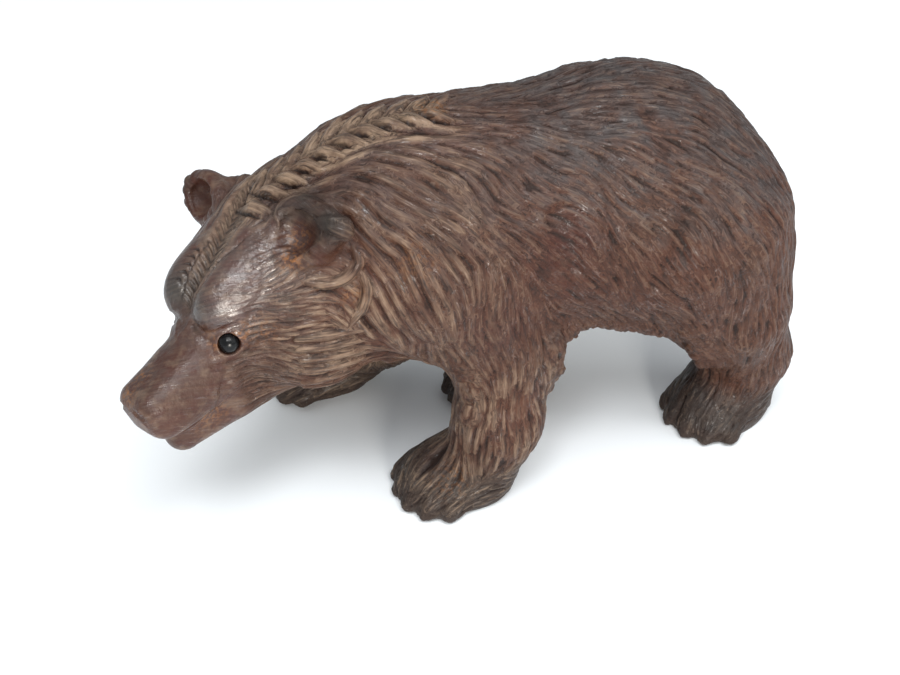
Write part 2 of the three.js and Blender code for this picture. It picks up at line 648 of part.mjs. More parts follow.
// Thins the surface to a number of triangles. The edge whose loss changes the form least
// goes first, so flat places keep few facets and the carved places keep many.
function thinned(positions, triangles, wanted) {
  const points = [];
  for (let i = 0; i < positions.length; i += 3) points.push(new THREE.Vector3().fromArray(positions, i));
  const planes = points.map(() => new Planes());
  const around = points.map(() => new Set());
  const age = new Int32Array(points.length);
  const normal = (a, b, c, out) => out.copy(b).sub(a).cross(new THREE.Vector3().copy(c).sub(a));
  const n = new THREE.Vector3();
  const m = new THREE.Vector3();
  triangles.forEach((triangle, t) => {
    const [a, b, c] = triangle.map((v) => points[v]);
    const area = normal(a, b, c, n).length() / 2;
    n.normalize();
    for (const v of triangle) {
      around[v].add(t);
      planes[v].addPlane(n, -n.dot(a), area);
    }
  });
  const heap = [];
  const up = (entry) => {
    let i = heap.push(entry) - 1;
    while (i > 0 && heap[(i - 1) >> 1].cost > entry.cost) {
      heap[i] = heap[(i - 1) >> 1];
      i = (i - 1) >> 1;
    }
    heap[i] = entry;
  };
  const down = () => {
    const first = heap[0];
    const last = heap.pop();
    if (heap.length === 0) return first;
    let i = 0;
    for (;;) {
      let child = 2 * i + 1;
      if (child >= heap.length) break;
      if (child + 1 < heap.length && heap[child + 1].cost < heap[child].cost) child++;
      if (heap[child].cost >= last.cost) break;
      heap[i] = heap[child];
      i = child;
    }
    heap[i] = last;
    return first;
  };
  const offer = (a, b) => {
    const both = planes[a].sum(planes[b]);
    const middle = points[a].clone().lerp(points[b], 0.5);
    const best = both.lowest();
    const length = points[a].distanceTo(points[b]);
    const target = best && best.distanceTo(middle) < 1.5 * length ? best : middle;
    const cost = both.at(target) + 1e-5 * length ** 4;
    up({ a, b, target, cost, ageA: age[a], ageB: age[b] });
  };
  const neighbours = (v) => {
    const found = new Set();
    for (const t of around[v]) for (const w of triangles[t]) if (w !== v) found.add(w);
    return found;
  };
  const turnsOver = (v, other, target) => {
    for (const t of around[v]) {
      const triangle = triangles[t];
      if (triangle.includes(other)) continue;
      const [a, b, c] = triangle.map((w) => points[w]);
      normal(a, b, c, n);
      const [d, e, f] = triangle.map((w) => (w === v ? target : points[w]));
      normal(d, e, f, m);
      if (n.dot(m) < 0.3 * n.length() * m.length()) return true;
    }
    return false;
  };
  let count = triangles.length;
  points.forEach((_, v) => {
    for (const w of neighbours(v)) if (v < w) offer(v, w);
  });
  while (count > wanted && heap.length > 0) {
    const { a, b, target, ageA, ageB } = down();
    if (age[a] !== ageA || age[b] !== ageB) continue;
    const nearA = neighbours(a);
    const shared = [...neighbours(b)].filter((v) => nearA.has(v));
    if (shared.length !== 2) continue;
    if (turnsOver(a, b, target) || turnsOver(b, a, target)) continue;
    points[a].copy(target);
    planes[a] = planes[a].sum(planes[b]);
    for (const t of around[b]) {
      if (triangles[t].includes(a)) {
        for (const v of triangles[t]) if (v !== b) around[v].delete(t);
        triangles[t] = null;
        count--;
      } else {
        triangles[t] = triangles[t].map((v) => (v === b ? a : v));
        around[a].add(t);
      }
    }
    around[b].clear();
    age[b] = -1;
    age[a]++;
    for (const v of neighbours(a)) offer(a, v);
  }
  const kept = triangles.filter((triangle) => triangle !== null);
  const geometry = new THREE.BufferGeometry();
  geometry.setAttribute("position", new THREE.Float32BufferAttribute(points.flatMap((p) => p.toArray()), 3));
  geometry.setIndex(kept.flat());
  return geometry;
}

function solidOf(geometry) {
  const bare = geometry.clone();
  bare.deleteAttribute("normal");
  bare.deleteAttribute("uv");
  const merged = mergeVertices(bare, 1e-4);
  return new wasm.Manifold(
    new wasm.Mesh({
      numProp: 3,
      vertProperties: new Float32Array(merged.attributes.position.array),
      triVerts: new Uint32Array(merged.index.array),
    }),
  );
}

function geometryFrom(solid) {
  const mesh = solid.getMesh();
  const geometry = new THREE.BufferGeometry();
  geometry.setAttribute("position", new THREE.Float32BufferAttribute(mesh.vertProperties, 3));
  geometry.setIndex(new THREE.Uint32BufferAttribute(mesh.triVerts, 1));
  geometry.computeVertexNormals();
  return geometry;
}

const LOW = at(-190, -95, -34);
const HIGH = at(150, 95, 175);

// The glass eyes sit in round sockets. Both are turned on the same axis, so the gap is even.
function eyeball(place, radius) {
  const ball = new THREE.SphereGeometry(radius, 16, 10);
  ball.applyQuaternion(HEAD_TURNED);
  ball.translate(place.x, place.y, place.z);
  return ball;
}

const eyePlaces = [1, -1].map((side) => {
  const place = settle(facePlace(side)([37.7, 14.7, 0.9]), bodyDistance, 4);
  return place.addScaledVector(outwardAt(place), (EYE_PROUD - EYE_DIAMETER / 2) * S);
});

function carving() {
  const surface = surfaceOf(woodDistance, LOW, HIGH, CELL * S);
  let wood = solidOf(thinned(surface.positions, trianglesOf(surface), FACETS));
  const floor = new THREE.BoxGeometry(HIGH.x - LOW.x, HIGH.y - LOW.y, 40 * S);
  floor.translate((LOW.x + HIGH.x) / 2, (LOW.y + HIGH.y) / 2, -20 * S);
  wood = wood.subtract(solidOf(floor));
  for (const place of eyePlaces) {
    wood = wood.subtract(solidOf(eyeball(place, (EYE_DIAMETER / 2) * S + EYE_CLEARANCE)));
  }
  return geometryFrom(wood);
}

const stainedLimewood = new THREE.MeshStandardMaterial({ color: 0x4a3028, roughness: 0.5, metalness: 0 });
const blackGlass = new THREE.MeshStandardMaterial({ color: 0x0a0a0c, roughness: 0.08, metalness: 0 });

const pieces = [["bear_carving", carving(), stainedLimewood]];
for (const [i, side] of ["left", "right"].entries()) {
  pieces.push([`glass_eye_${side}`, eyeball(eyePlaces[i], (EYE_DIAMETER / 2) * S), blackGlass]);
}

// The origin is under the middle of the carving, on the plane of its soles.
const bounds = new THREE.Box3().setFromBufferAttribute(pieces[0][1].attributes.position);
const middle = bounds.getCenter(new THREE.Vector3());

const model = new THREE.Group();
for (const [name, geometry, material] of pieces) {
  geometry.translate(-middle.x, -middle.y, -bounds.min.z);
  const mesh = new THREE.Mesh(geometry, material);
  mesh.name = name;
  model.add(mesh);
}
export default model;
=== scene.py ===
"""A walking bear carved from one block of stained limewood, with black glass eyes.

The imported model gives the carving's place and size. The wood is cut again here from the same
soft forms, finely, with the strokes of the gouge that make its coat.
"""

import math

import bmesh
import bpy
import numpy as np
from mathutils import Matrix, Vector


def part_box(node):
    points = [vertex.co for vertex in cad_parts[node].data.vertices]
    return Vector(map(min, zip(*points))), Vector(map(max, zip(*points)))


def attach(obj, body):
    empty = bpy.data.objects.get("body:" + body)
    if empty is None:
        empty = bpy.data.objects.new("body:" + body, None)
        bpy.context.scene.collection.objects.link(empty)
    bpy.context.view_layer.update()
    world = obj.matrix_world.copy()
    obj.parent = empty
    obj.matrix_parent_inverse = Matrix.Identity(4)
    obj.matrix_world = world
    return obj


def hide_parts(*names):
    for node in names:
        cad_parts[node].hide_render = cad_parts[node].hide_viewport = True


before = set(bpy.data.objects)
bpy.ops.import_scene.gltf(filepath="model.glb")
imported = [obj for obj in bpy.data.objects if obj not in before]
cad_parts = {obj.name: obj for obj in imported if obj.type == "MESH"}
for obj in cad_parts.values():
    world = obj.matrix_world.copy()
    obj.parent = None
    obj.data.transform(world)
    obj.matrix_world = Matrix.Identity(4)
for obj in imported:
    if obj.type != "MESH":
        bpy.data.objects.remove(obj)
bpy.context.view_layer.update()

bl_info = {
    "name": "Carved bear",
    "version": (1, 0, 0),
    "blender": (4, 5, 0),
    "location": "View3D > Sidebar > Bear",
    "description": "A walking bear carved from stained limewood, on a pale floor",
    "category": "Object",
}

MM = 0.001

# Places are in millimetres in the carver's frame: the bear faces -X, its left side is
# towards -Y and +Z is up. The head has a frame of its own, with +X towards the nose,
# +Y to the bear's left and +Z up.
HEAD_PLACE = np.array([-62.0, -2.0, 95.0])
HEAD_TURN = 30.0
HEAD_DIP = 16.0
HEAD_ROLL = 14.0
FACE_MIDDLE = -1.0
EYE_DIAMETER = 6.6
EYE_PROUD = 1.9
SOCKET_CLEARANCE = 0.15
FAR = 60.0
NEAR = 8.0
SOLE = -2.0
THROUGH = 3.0  # a stroke is felt through no more wood than this
LID_HEIGHT = 0.5
LID_WIDTH = 0.8
SOCKET_REACH = 6.0
BOX_MARGIN = np.array([0.01, 0.01, 0.0])
SLOPE_STEP = 0.05
TINY = 1e-9


def rotation(degrees, axis):
    return np.array(Matrix.Rotation(math.radians(degrees), 3, axis))


HEAD = rotation(180 + HEAD_TURN, "Z") @ rotation(HEAD_DIP, "Y") @ rotation(HEAD_ROLL, "X")


def on_head(place):
    """A place of the head, or several, in the carver's frame."""
    return HEAD_PLACE + np.asarray(place, float) @ HEAD.T


def in_head(points):
    return (points - HEAD_PLACE) @ HEAD


def on_face(side, places):
    """Places given by their distance from the face's own middle line."""
    places = np.asarray(places, float)
    return on_head(places * (1, side, 1) + (0, FACE_MIDDLE, 0))


def dot(a, b):
    return np.einsum("...i,...i->...", a, b)


def length_of(v):
    return np.sqrt(dot(v, v))


def unit(v):
    return v / np.maximum(length_of(v), TINY)[..., None]


def smooth_min(a, b, k):
    h = np.maximum(k - np.abs(a - b), 0) / k
    return np.minimum(a, b) - h * h * k / 4


def smooth_step(low, high, x):
    t = np.clip((x - low) / (high - low), 0, 1)
    return t * t * (3 - 2 * t)


class Form:
    """A soft form, the ball that holds it, and the width over which it blends in."""

    def __init__(self, distance, middle, radius, blend):
        self.distance = distance
        self.middle = np.asarray(middle, float)
        self.radius = radius
        self.blend = blend
        self.felt = blend

    def near(self, points):
        gap = points - self.middle
        reach = self.radius + self.felt + NEAR
        return np.nonzero(dot(gap, gap) < reach * reach)[0]


def lump(middle, radii, blend, turn=None):
    middle = np.asarray(middle, float)
    radii = np.asarray(radii, float)

    def distance(points):
        q = points - middle
        if turn is not None:
            q = q @ turn
        outer = length_of(q / radii)
        inner = length_of(q / radii**2)
        return outer * (outer - 1) / np.maximum(inner, TINY)

    return Form(distance, middle, radii.max(), blend)


def limb(start, end, start_radius, end_radius, blend):
    start = np.asarray(start, float)
    axis = np.asarray(end, float) - start

    def distance(points):
        q = points - start
        t = np.clip(q @ axis / (axis @ axis), 0, 1)
        return length_of(q - t[:, None] * axis) - (start_radius + t * (end_radius - start_radius))

    radius = np.linalg.norm(axis) / 2 + max(start_radius, end_radius)
    return Form(distance, start + axis / 2, radius, blend)


def block(middle, half, rounding, blend, turn):
    middle = np.asarray(middle, float)
    half = np.asarray(half, float)

    def distance(points):
        q = np.abs((points - middle) @ turn) - half + rounding
        return length_of(np.maximum(q, 0)) + np.minimum(q.max(1), 0) - rounding

    return Form(distance, middle, np.linalg.norm(half), blend)


def head_lump(x, y, z, rx, ry, rz, blend):
    return lump(on_head((x, y, z)), (rx, ry, rz), blend, HEAD)


def torso():
    return [
        lump((61, 0, 90), (40, 35.5, 43), 1),
        lump((84, -12, 71), (25, 22, 30), 16),
        lump((80, 12, 71), (25, 22, 30), 16),
        lump((26, 0, 98), (58, 35.5, 38), 30),
        lump((-20, 0, 96.5), (38, 33, 38.3), 26),
        lump((-38, 0, 92), (22, 27, 25), 20),
        limb((-36, -1, 102), (-58, -3, 95), 26.5, 25, 20),
    ]


def head_forms():
    return [
        head_lump(4, 0.6, 0, 30, 26.4, 23, 14),
        head_lump(22, 8.5, 11, 17, 9, 9.5, 6),
        head_lump(22, -9.3, 11, 17, 8.5, 9.5, 6),
        limb(on_head((34, 0, -6)), on_head((57, 0, -9)), 15, 10.5, 10),
        block(on_head((58.5, 0, -6.4)), (12.5, 10, 8.9), 6, 5, HEAD),
        limb(on_head((18, 0, -23)), on_head((60, -5, -24.5)), 14, 6.2, 7),
        head_lump(8, 17, -17, 21, 12, 18, 12),
        head_lump(8, -17, -17, 21, 12, 18, 12),
    ]


# Each leg is a chain of joints from the trunk down, with the bar's radius at each.
LEGS = {
    "fore_left": [((-18, -19, 92), 23), ((4, -23, 58), 17), ((1, -29, 30), 14), ((-6, -30, 8), 13)],
    "fore_right": [((-20, 19, 94), 22), ((-4, 28, 54), 17), ((-18, 37, 24), 12), ((-37, 42, 9), 12)],
    "hind_left": [((76, -18, 84), 29), ((89, -23, 54), 19), ((101, -20, 28), 15), ((100, -19, 8), 13)],
    "hind_right": [((66, 18, 82), 28), ((48, 20, 50), 18), ((30, 19, 26), 13.5), ((26, 18, 8), 12)],
}

# Each paw: middle, the way it points, length, width and rise.
PAWS = {
    "fore_left": ((-15.5, -26), 204, 38, 31, 13.5),
    "fore_right": ((-47, 43), 188, 35, 26, 13),
    "hind_left": ((93.5, -19.5), 210, 41, 33, 17),
    "hind_right": ((17, 17), 170, 36, 28, 14),
}
TOE_SPREAD = 25.0


def legs():
    forms = []
    for joints in LEGS.values():
        for i in range(1, len(joints)):
            (a, a_radius), (b, b_radius) = joints[i - 1], joints[i]
            forms.append(limb(a, b, a_radius, b_radius, 18 if i == 1 else 8))
    return forms


def paw_places(name):
    (x, y), heading, length, width, rise = PAWS[name]
    turn = rotation(heading, "Z")

    def place(ahead, aside, up):
        return turn @ np.array([ahead, aside, up], float) + np.array([x, y, 0.0])

    return place, turn, length, width, rise


def paws():
    forms = []
    for name in PAWS:
        place, turn, length, width, rise = paw_places(name)
        forms.append(lump(place(0, 0, 4), (length / 2, width / 2, rise), 7, turn))
        forms.append(lump(place(-length * 0.26, 0, 5), (length * 0.26, width * 0.4, 13), 5, turn))
        for i in range(-2, 3):
            ahead = math.cos(math.radians(i * TOE_SPREAD))
            aside = math.sin(math.radians(i * TOE_SPREAD))
            knuckle = place(ahead * length * 0.3, aside * width * 0.42, 6)
            tip = place(ahead * length * 0.46, aside * width * 0.52, 3.5)
            claw = place(ahead * length * 0.46 + 2.6 * ahead, aside * width * 0.52 + 2.2 * aside, 2)
            forms.append(limb(knuckle, tip, 4.8, 4, 3.5))
            forms.append(limb(tip, claw, 2.6, 1.7, 2))
    return forms


def both(a, b, blend):
    """Two forms that blend in as one."""
    middle = (a.middle + b.middle) / 2
    radius = max(np.linalg.norm(form.middle - middle) + form.radius for form in (a, b))
    return Form(lambda points: np.minimum(a.distance(points), b.distance(points)), middle, radius, blend)


def ear_turn(side):
    """The ear's own frame: the way that it faces, across it, and towards its tip."""
    face = unit(np.array([0.78, side * 0.12, 0.6]))
    across = unit(np.cross(np.array([0.14, side, 0.3]), face))
    return HEAD @ np.stack([face, across, np.cross(face, across)], 1)


def ear(side, rise):
    """A cup with a blunt tip and a root that runs back into the neck, and its hollow."""
    turn = ear_turn(side)
    middle = on_head((2, side * 27 - 1.5, 18.5 + rise))
    cup = lump(middle, (6, 9.3, 12), 5, turn)
    point = limb(middle + turn @ (-1, 0, 2), middle + turn @ (-1.5, -1, 12.5), 6.2, 3.2, 3)
    root = limb(on_head((0, side * 30, 19)), on_head((-8, side * 21, 15.5)), 4.6, 4, 3)
    hollow = lump(middle + turn @ (5.6, 0.5, -1), (7, 6.6, 8), 2, turn)
    return cup, both(point, root, 3), hollow


EARS = [ear(1, 1.2), ear(-1, -0.6)]
BODY = torso() + legs() + paws() + head_forms()
BODY.append(limb((99, -1, 84), (106, -2, 66), 7, 4.5, 4))
BODY += [cup for cup, _, _ in EARS]
BODY += [point for _, point, _ in EARS]
# A form is felt as far off as the widest blend that comes after it.
for i, form in enumerate(BODY):
    form.felt = max(later.blend for later in BODY[i:])


def body_distance(points, more=()):
    """Distance from the smooth bear, before any fur is carved. Good near its surface."""
    d = np.full(len(points), FAR)
    hollows = [hollow for _, _, hollow in EARS]
    for forms, sign in ((BODY, 1), (hollows, -1), (more, 1)):
        for form in forms:
            n = form.near(points)
            if len(n):
                d[n] = sign * smooth_min(sign * d[n], form.distance(points[n]), form.blend)
    return np.maximum(d, SOLE - points[:, 2])


def slope_of(points, more=()):
    """The distance from the surface, and its slope along each axis."""
    d = body_distance(points, more)
    slope = np.empty_like(points)
    for axis in range(3):
        moved = points.copy()
        moved[:, axis] += SLOPE_STEP
        slope[:, axis] = (body_distance(moved, more) - d) / SLOPE_STEP
    return d, slope


def settle(points, rounds=3, more=()):
    """Moves points onto the surface along its slope, and gives the way out there too."""
    points = np.array(points, float)
    for _ in range(rounds):
        d, slope = slope_of(points, more)
        steep = np.maximum(dot(slope, slope), 0.25)
        points -= slope * (d / steep)[:, None]
    return points, unit(slope)


# Where a tuft starts along a line, how many there are, and the way that they point.
FRINGES = [
    ((16, -36, 64), (17, -30, 42), 5, (0.85, 0, -0.55)),
    ((12, 28, 64), (6, 29, 42), 5, (0.85, 0, -0.55)),
    ((28, -30, 60), (58, -28, 60), 6, (0.6, 0, -0.8)),
    ((24, 28, 60), (40, 26, 60), 4, (0.6, 0, -0.8)),
    ((70, -34, 64), (83, -28, 44), 5, (-0.75, 0, -0.65)),
    ((34, 26, 58), (20, 24, 36), 5, (-0.75, 0, -0.65)),
    ((-16, -36, 66), (-12, -34, 40), 4, (0.6, 0, -0.8)),
    ((-34, -20, 70), (-34, 20, 70), 5, (0.6, 0, -0.8)),
]
TUFT_LENGTH = 5.5
TUFT_WIDTH = 3.4
TUFT_BLEND = 5
TUFT_SHARES = (0.75, 0.2, 0.9, 0.45, 0.65)  # the tufts' ends are uneven


def tufts():
    """Short pointed ends of fur behind the legs and under the belly."""
    forms = []
    for start, end, count, way in FRINGES:
        share = np.linspace(0, 1, count)[:, None]
        roots, out = settle(np.array(start) * (1 - share) + np.array(end) * share, 4)
        for i, root in enumerate(roots - out * TUFT_WIDTH * 0.5):
            tip = root + unit(np.array(way)) * TUFT_LENGTH * TUFT_SHARES[i % len(TUFT_SHARES)]
            forms.append(limb(root, tip, TUFT_WIDTH, TUFT_WIDTH * 0.4, TUFT_BLEND))
    return forms


# The lie of the coat: a place, and the way that the strokes run there. The first list is
# for the left side of the trunk and is mirrored, the second is for the left of the head.
LIE = [
    ((-58, -10, 124), (0.8, -0.5, -0.1)), ((-48, -30, 112), (0.5, -0.3, -0.8)),
    ((-52, -34, 92), (0.5, 0.1, -0.85)), ((-14, -3, 139), (1, -0.25, 0)),
    ((-11, -30, 123), (0.65, -0.35, -0.7)), ((-26, -40, 106), (0.35, -0.1, -0.95)),
    ((-5, -43, 86), (0.3, -0.1, -0.95)), ((30, -3, 137), (1, -0.2, 0)),
    ((20, -30, 122), (0.75, -0.25, -0.6)), ((30, -38, 100), (0.55, 0, -0.85)),
    ((35, -33, 70), (0.7, 0.2, -0.7)), ((60, -6, 136), (0.95, -0.3, -0.1)),
    ((68, -36, 114), (0.7, -0.1, -0.7)), ((75, -46, 93), (0.45, 0, -0.9)),
    ((92, -16, 118), (0.6, -0.2, -0.75)), ((104, -8, 95), (0.15, -0.1, -1)),
    ((96, -34, 90), (0.2, -0.1, -1)), ((84, -44, 64), (0.05, 0, -1)),
    ((-24, -42, 80), (0.2, 0, -1)), ((0, -38, 50), (0.1, 0, -1)),
    ((98, -30, 40), (0, 0, -1)),
]
LEG_LIE = [
    ((0, -36, 30), (0, 0, -1)), ((4, -22, 30), (0.1, 0, -1)), ((66, -32, 52), (0.5, 0, -0.85)),
    ((108, -26, 30), (0, 0, -1)), ((90, -30, 26), (-0.1, 0, -1)),
]
HEAD_LIE = [
    ((17, 27, 2), (-0.8, 0.35, -0.4)), ((25, 24, -6), (-0.95, 0.3, -0.15)),
    ((27, 21, -22), (-0.9, 0.35, -0.3)), ((33, 10, -26), (-0.95, 0.3, -0.2)),
    ((16, 29, -21), (-0.8, 0.2, -0.5)), ((19, 29, -9), (-0.85, 0.3, -0.35)),
    ((38, 13, -12), (-0.9, 0.1, -0.35)), ((5, 6, 27), (-0.95, 0.25, 0.1)),
    ((-8, 20, 25), (-0.8, 0.5, -0.2)), ((-8, 32, 8), (-0.3, 0.3, -0.9)),
    ((20, 0, -33), (-1, 0, -0.2)), ((10, 22, 18), (-0.9, 0.3, 0.2)),
]
LIE_SOFTNESS = 30.0
WAVER = math.radians(14)
QUIVER = math.radians(9)


def wavy(points, scale, seed):
    """A smooth wandering number from -1 to 1, from a few slanted waves."""
    rng = np.random.default_rng(seed)
    total = np.zeros(len(points))
    for _ in range(5):
        way = unit(rng.normal(size=3))
        total += np.sin(points @ way * (2 * math.pi / scale) * rng.uniform(0.7, 1.3) + rng.uniform(0, 7))
    return total / 3


def lie_at(points, out):
    """The way of the coat along the surface."""
    total = np.zeros_like(points)
    local = in_head(points)
    trunk_side = np.where(points[:, 1] > 0, -1.0, 1.0)
    head_side = np.where(local[:, 1] < FACE_MIDDLE, -1.0, 1.0)
    for lies, there, side, turn in (
        (LIE + LEG_LIE, points, trunk_side, np.eye(3)), (HEAD_LIE, local, head_side, HEAD.T),
    ):
        for (x, y, z), way in lies:
            place = np.stack([np.full_like(side, x), side * y, np.full_like(side, z)], 1)
            weight = 1 / (np.sum((there - place) ** 2, 1) + LIE_SOFTNESS) ** 2
            dx, dy, dz = unit(np.array(way, float))
            total += np.stack([weight * dx, weight * side * dy, weight * dz], 1) @ turn
    for name in PAWS:
        place, turn, length, width, _ = paw_places(name)
        low = smooth_step(24, 12, points[:, 2])
        gap = points - place(-length * 0.5, 0, 0)
        near = low * smooth_step(length * 1.3, length * 0.9, length_of(gap[:, :2]))
        away = unit(gap * (1, 1, 0.2)) + turn @ np.array([0.6, 0, -0.25])
        total = unit(total) * (1 - near)[:, None] + unit(away) * near[:, None]
    total = unit(total)
    turn = WAVER * wavy(points, 26, 3) + QUIVER * wavy(points, 11, 4)
    total -= out * dot(total, out)[:, None]
    total = unit(total)
    return total * np.cos(turn)[:, None] + np.cross(out, total) * np.sin(turn)[:, None]


def round_profile(x):
    return 1 - x**2.4


def vee_profile(x):
    return (1 - x) ** 1.5


class Strokes:
    """Bars that lie on the surface, each with its half width and its height or depth."""

    BATCH = 2500

    def __init__(self, seed=0, profile=round_profile):
        self.parts = []
        self.profile = profile
        self.rng = np.random.default_rng(seed)

    def add(self, lines, widths, heights):
        """lines is (count, places, 3). widths and heights fit (count, places)."""
        lines = np.asarray(lines, float)
        widths = np.broadcast_to(widths, lines.shape[:2])
        heights = np.broadcast_to(heights, lines.shape[:2])
        along = np.cumsum(length_of(np.diff(lines, axis=1)), 1)
        along = np.concatenate([np.zeros((len(lines), 1)), along], 1)
        tone = np.repeat(self.rng.uniform(0, 4, len(lines))[:, None], lines.shape[1], 1)
        ends = [np.stack([v[:, :-1].ravel(), v[:, 1:].ravel()], 1) for v in (widths, heights, along, tone)]
        starts, stops = lines[:, :-1].reshape(-1, 3), lines[:, 1:].reshape(-1, 3)
        self.parts.append(np.concatenate([starts, stops, *ends], 1))

    def line(self, places, widths, heights, steps=3):
        """One stroke through a few places, bent smoothly and laid on the surface."""
        places = np.asarray(places, float)
        count = len(places)
        t = np.linspace(0, count - 1, steps * (count - 1) + 1)
        widths = np.interp(t, range(count), np.broadcast_to(widths, count))
        heights = np.interp(t, range(count), np.broadcast_to(heights, count))
        laid, _ = settle(curve_through(places, t), 4)
        self.add(laid[None], widths[None], heights[None])

    def laid_on(self, points, out):
        """The greatest height that any stroke gives each point, and the point's place on that
        stroke: how far aside, how far along, and the stroke's own number."""
        bars = np.concatenate(self.parts)
        best = np.zeros(len(points))
        strand = np.zeros((len(points), 3))
        cells = Cells(points)
        for start in range(0, len(bars), self.BATCH):
            some = bars[start : start + self.BATCH]
            a, b = some[:, 0:3], some[:, 3:6]
            point, bar = cells.pairs(a, b, some[:, 6:8].max(1) + THROUGH / 2)
            way_out = out[point]
            q = points[point] - a[bar]
            over = dot(q, way_out)
            q -= way_out * over[:, None]
            axis = (b - a)[bar]
            t = np.clip(dot(q, axis) / np.maximum(dot(axis, axis), TINY), 0, 1)
            gap = q - t[:, None] * axis
            far = length_of(gap)
            width, height, along = (some[bar, n] * (1 - t) + some[bar, n + 1] * t for n in (6, 8, 10))
            value = height * self.profile(np.clip(far / np.maximum(width, 1e-6), 0, 1))
            better = (value > best[point]) & (np.abs(over) < THROUGH)
            order = np.nonzero(better)[0][np.argsort(value[better])]
            best[point[order]] = value[order]
            aside = np.copysign(far, dot(np.cross(way_out, axis), gap))
            strand[point[order]] = np.stack([aside, along, some[bar, 12]], 1)[order]
        return best, strand


def curve_through(places, t):
    """A smooth curve through the places. t counts them from 0."""
    n = np.clip(t.astype(int), 0, len(places) - 2)
    f = (t - n)[:, None]
    padded = np.concatenate([2 * places[:1] - places[1:2], places, 2 * places[-1:] - places[-2:-1]])
    a, b, c, d = padded[n], padded[n + 1], padded[n + 2], padded[n + 3]
    return 0.5 * (2 * b + (c - a) * f + (2 * a - 5 * b + 4 * c - d) * f**2 + (3 * b - 3 * c + d - a) * f**3)


class Cells:
    """Points kept by the small cube of space that holds them."""

    SIDE = 3.0

    def __init__(self, points):
        self.low = points.min(0) - 20
        key = self.key(np.floor((points - self.low) / self.SIDE).astype(np.int64))
        self.order = np.argsort(key, kind="stable")
        self.sorted = key[self.order]

    def key(self, cell):
        return (cell[..., 0] * 4096 + cell[..., 1]) * 4096 + cell[..., 2]

    def pairs(self, a, b, reach):
        """Every point and bar that may lie within the bar's reach."""
        low = np.floor((np.minimum(a, b) - reach[:, None] - self.low) / self.SIDE).astype(np.int64)
        high = np.floor((np.maximum(a, b) + reach[:, None] - self.low) / self.SIDE).astype(np.int64)
        span = high - low + 1
        counts = span.prod(1)
        bar = np.repeat(np.arange(len(a)), counts)
        n = np.arange(counts.sum()) - np.repeat(np.cumsum(counts) - counts, counts)
        across, deep = span[bar, 0], span[bar, 1]
        cell = low[bar] + np.stack([n % across, n // across % deep, n // (across * deep)], 1)
        key = self.key(cell)
        first = np.searchsorted(self.sorted, key, "left")
        held = np.searchsorted(self.sorted, key, "right") - first
        bar = np.repeat(bar, held)
        start = np.repeat(first, held)
        n = np.arange(held.sum()) - np.repeat(np.cumsum(held) - held, held)
        return self.order[start + n], bar


def traced(seeds, out, lengths, steps):
    """Strokes that follow the coat through each seed."""
    halves = []
    for sign in (-1, 1):
        place, way_out = seeds, out
        half = []
        for _ in range(steps):
            way = lie_at(place, way_out) * sign
            place, way_out = settle(place + way * (lengths / (2 * steps))[:, None], 1)
            half.append(place)
        halves.append(half)
    return np.stack(halves[0][::-1] + [seeds] + halves[1], 1)


def scattered(points, ways, across, along, seed):
    """Picks points so that none lies within another's ellipse, which is long along the coat."""
    rng = np.random.default_rng(seed)
    side = float(np.max(along))
    kept = []
    cells = {}
    home = np.floor(points / side).astype(int)
    around = [(a, b, c) for a in (-1, 0, 1) for b in (-1, 0, 1) for c in (-1, 0, 1)]
    for n in rng.permutation(len(points)):
        i, j, k = home[n]
        near = [m for a, b, c in around for m in cells.get((i + a, j + b, k + c), ())]
        if near:
            gap = points[near] - points[n]
            far = gap @ ways[n]
            aside = dot(gap, gap) - far * far
            if np.min(far * far / along[n] ** 2 + aside / across[n] ** 2) < 1:
                continue
        kept.append(n)
        cells.setdefault((i, j, k), []).append(n)
    return np.array(kept)


# Low broad locks stand in rows round the trunk, as in the solid, under the coat's strokes.
ROW_LOCK_LENGTH = 19.0
ROW_LOCK_WIDTHS = np.array([0.6, 1, 1, 0.95, 0.6, 0.25]) * 2.7
ROW_LOCK_HEIGHTS = np.array([0.3, 1, 1, 0.9, 0.6, 0.2]) * 1.1
ROW_GAP = 13.5
ROW_LOCKS = 17
ROW_SWEEP = 224.0
RUMP_TILTS = (18.0, 36.0, 54.0, 72.0)
TRUNK_HEIGHT = 92


def cast_out(start, ways):
    """Goes from a place inside the body straight out to its surface."""
    points = np.repeat(np.asarray(start, float)[None], len(ways), 0)
    for _ in range(60):
        d = body_distance(points)
        go = d < -0.05
        if not go.any():
            break
        points[go] += ways[go] * np.maximum(-d[go] * 0.8, 0.1)[:, None]
    return points


def row_seeds():
    """Where each lock of the rows starts: rings round the trunk, then rings over the rump."""
    rows = [(x, 0.0) for x in np.arange(-46, 62.1, ROW_GAP)]
    rows += [(62.0, tilt) for tilt in RUMP_TILTS]
    seeds = []
    for row, (x, tilt) in enumerate(rows):
        flat, back = math.cos(math.radians(tilt)), math.sin(math.radians(tilt))
        count = max(round(ROW_LOCKS * flat), 3)
        share = (np.arange(count) + (0.75 if row % 2 else 0.25)) / count
        turn = np.radians(ROW_SWEEP * (share - 0.5))
        ways = np.stack([np.full(count, back), np.sin(turn) * flat, np.cos(turn) * flat], 1)
        start = cast_out((x, 0, TRUNK_HEIGHT), unit(ways))
        seeds.append(start[(np.abs(start[:, 1]) >= 6) | (x >= 0)])
    return settle(np.concatenate(seeds))


def forward_traced(seeds, out, length, steps):
    """Locks that start at each seed and follow the coat."""
    places = [seeds]
    place, way_out = seeds, out
    for _ in range(steps):
        place, way_out = settle(place + lie_at(place, way_out) * length / steps, 2)
        places.append(place)
    return np.stack(places, 1)


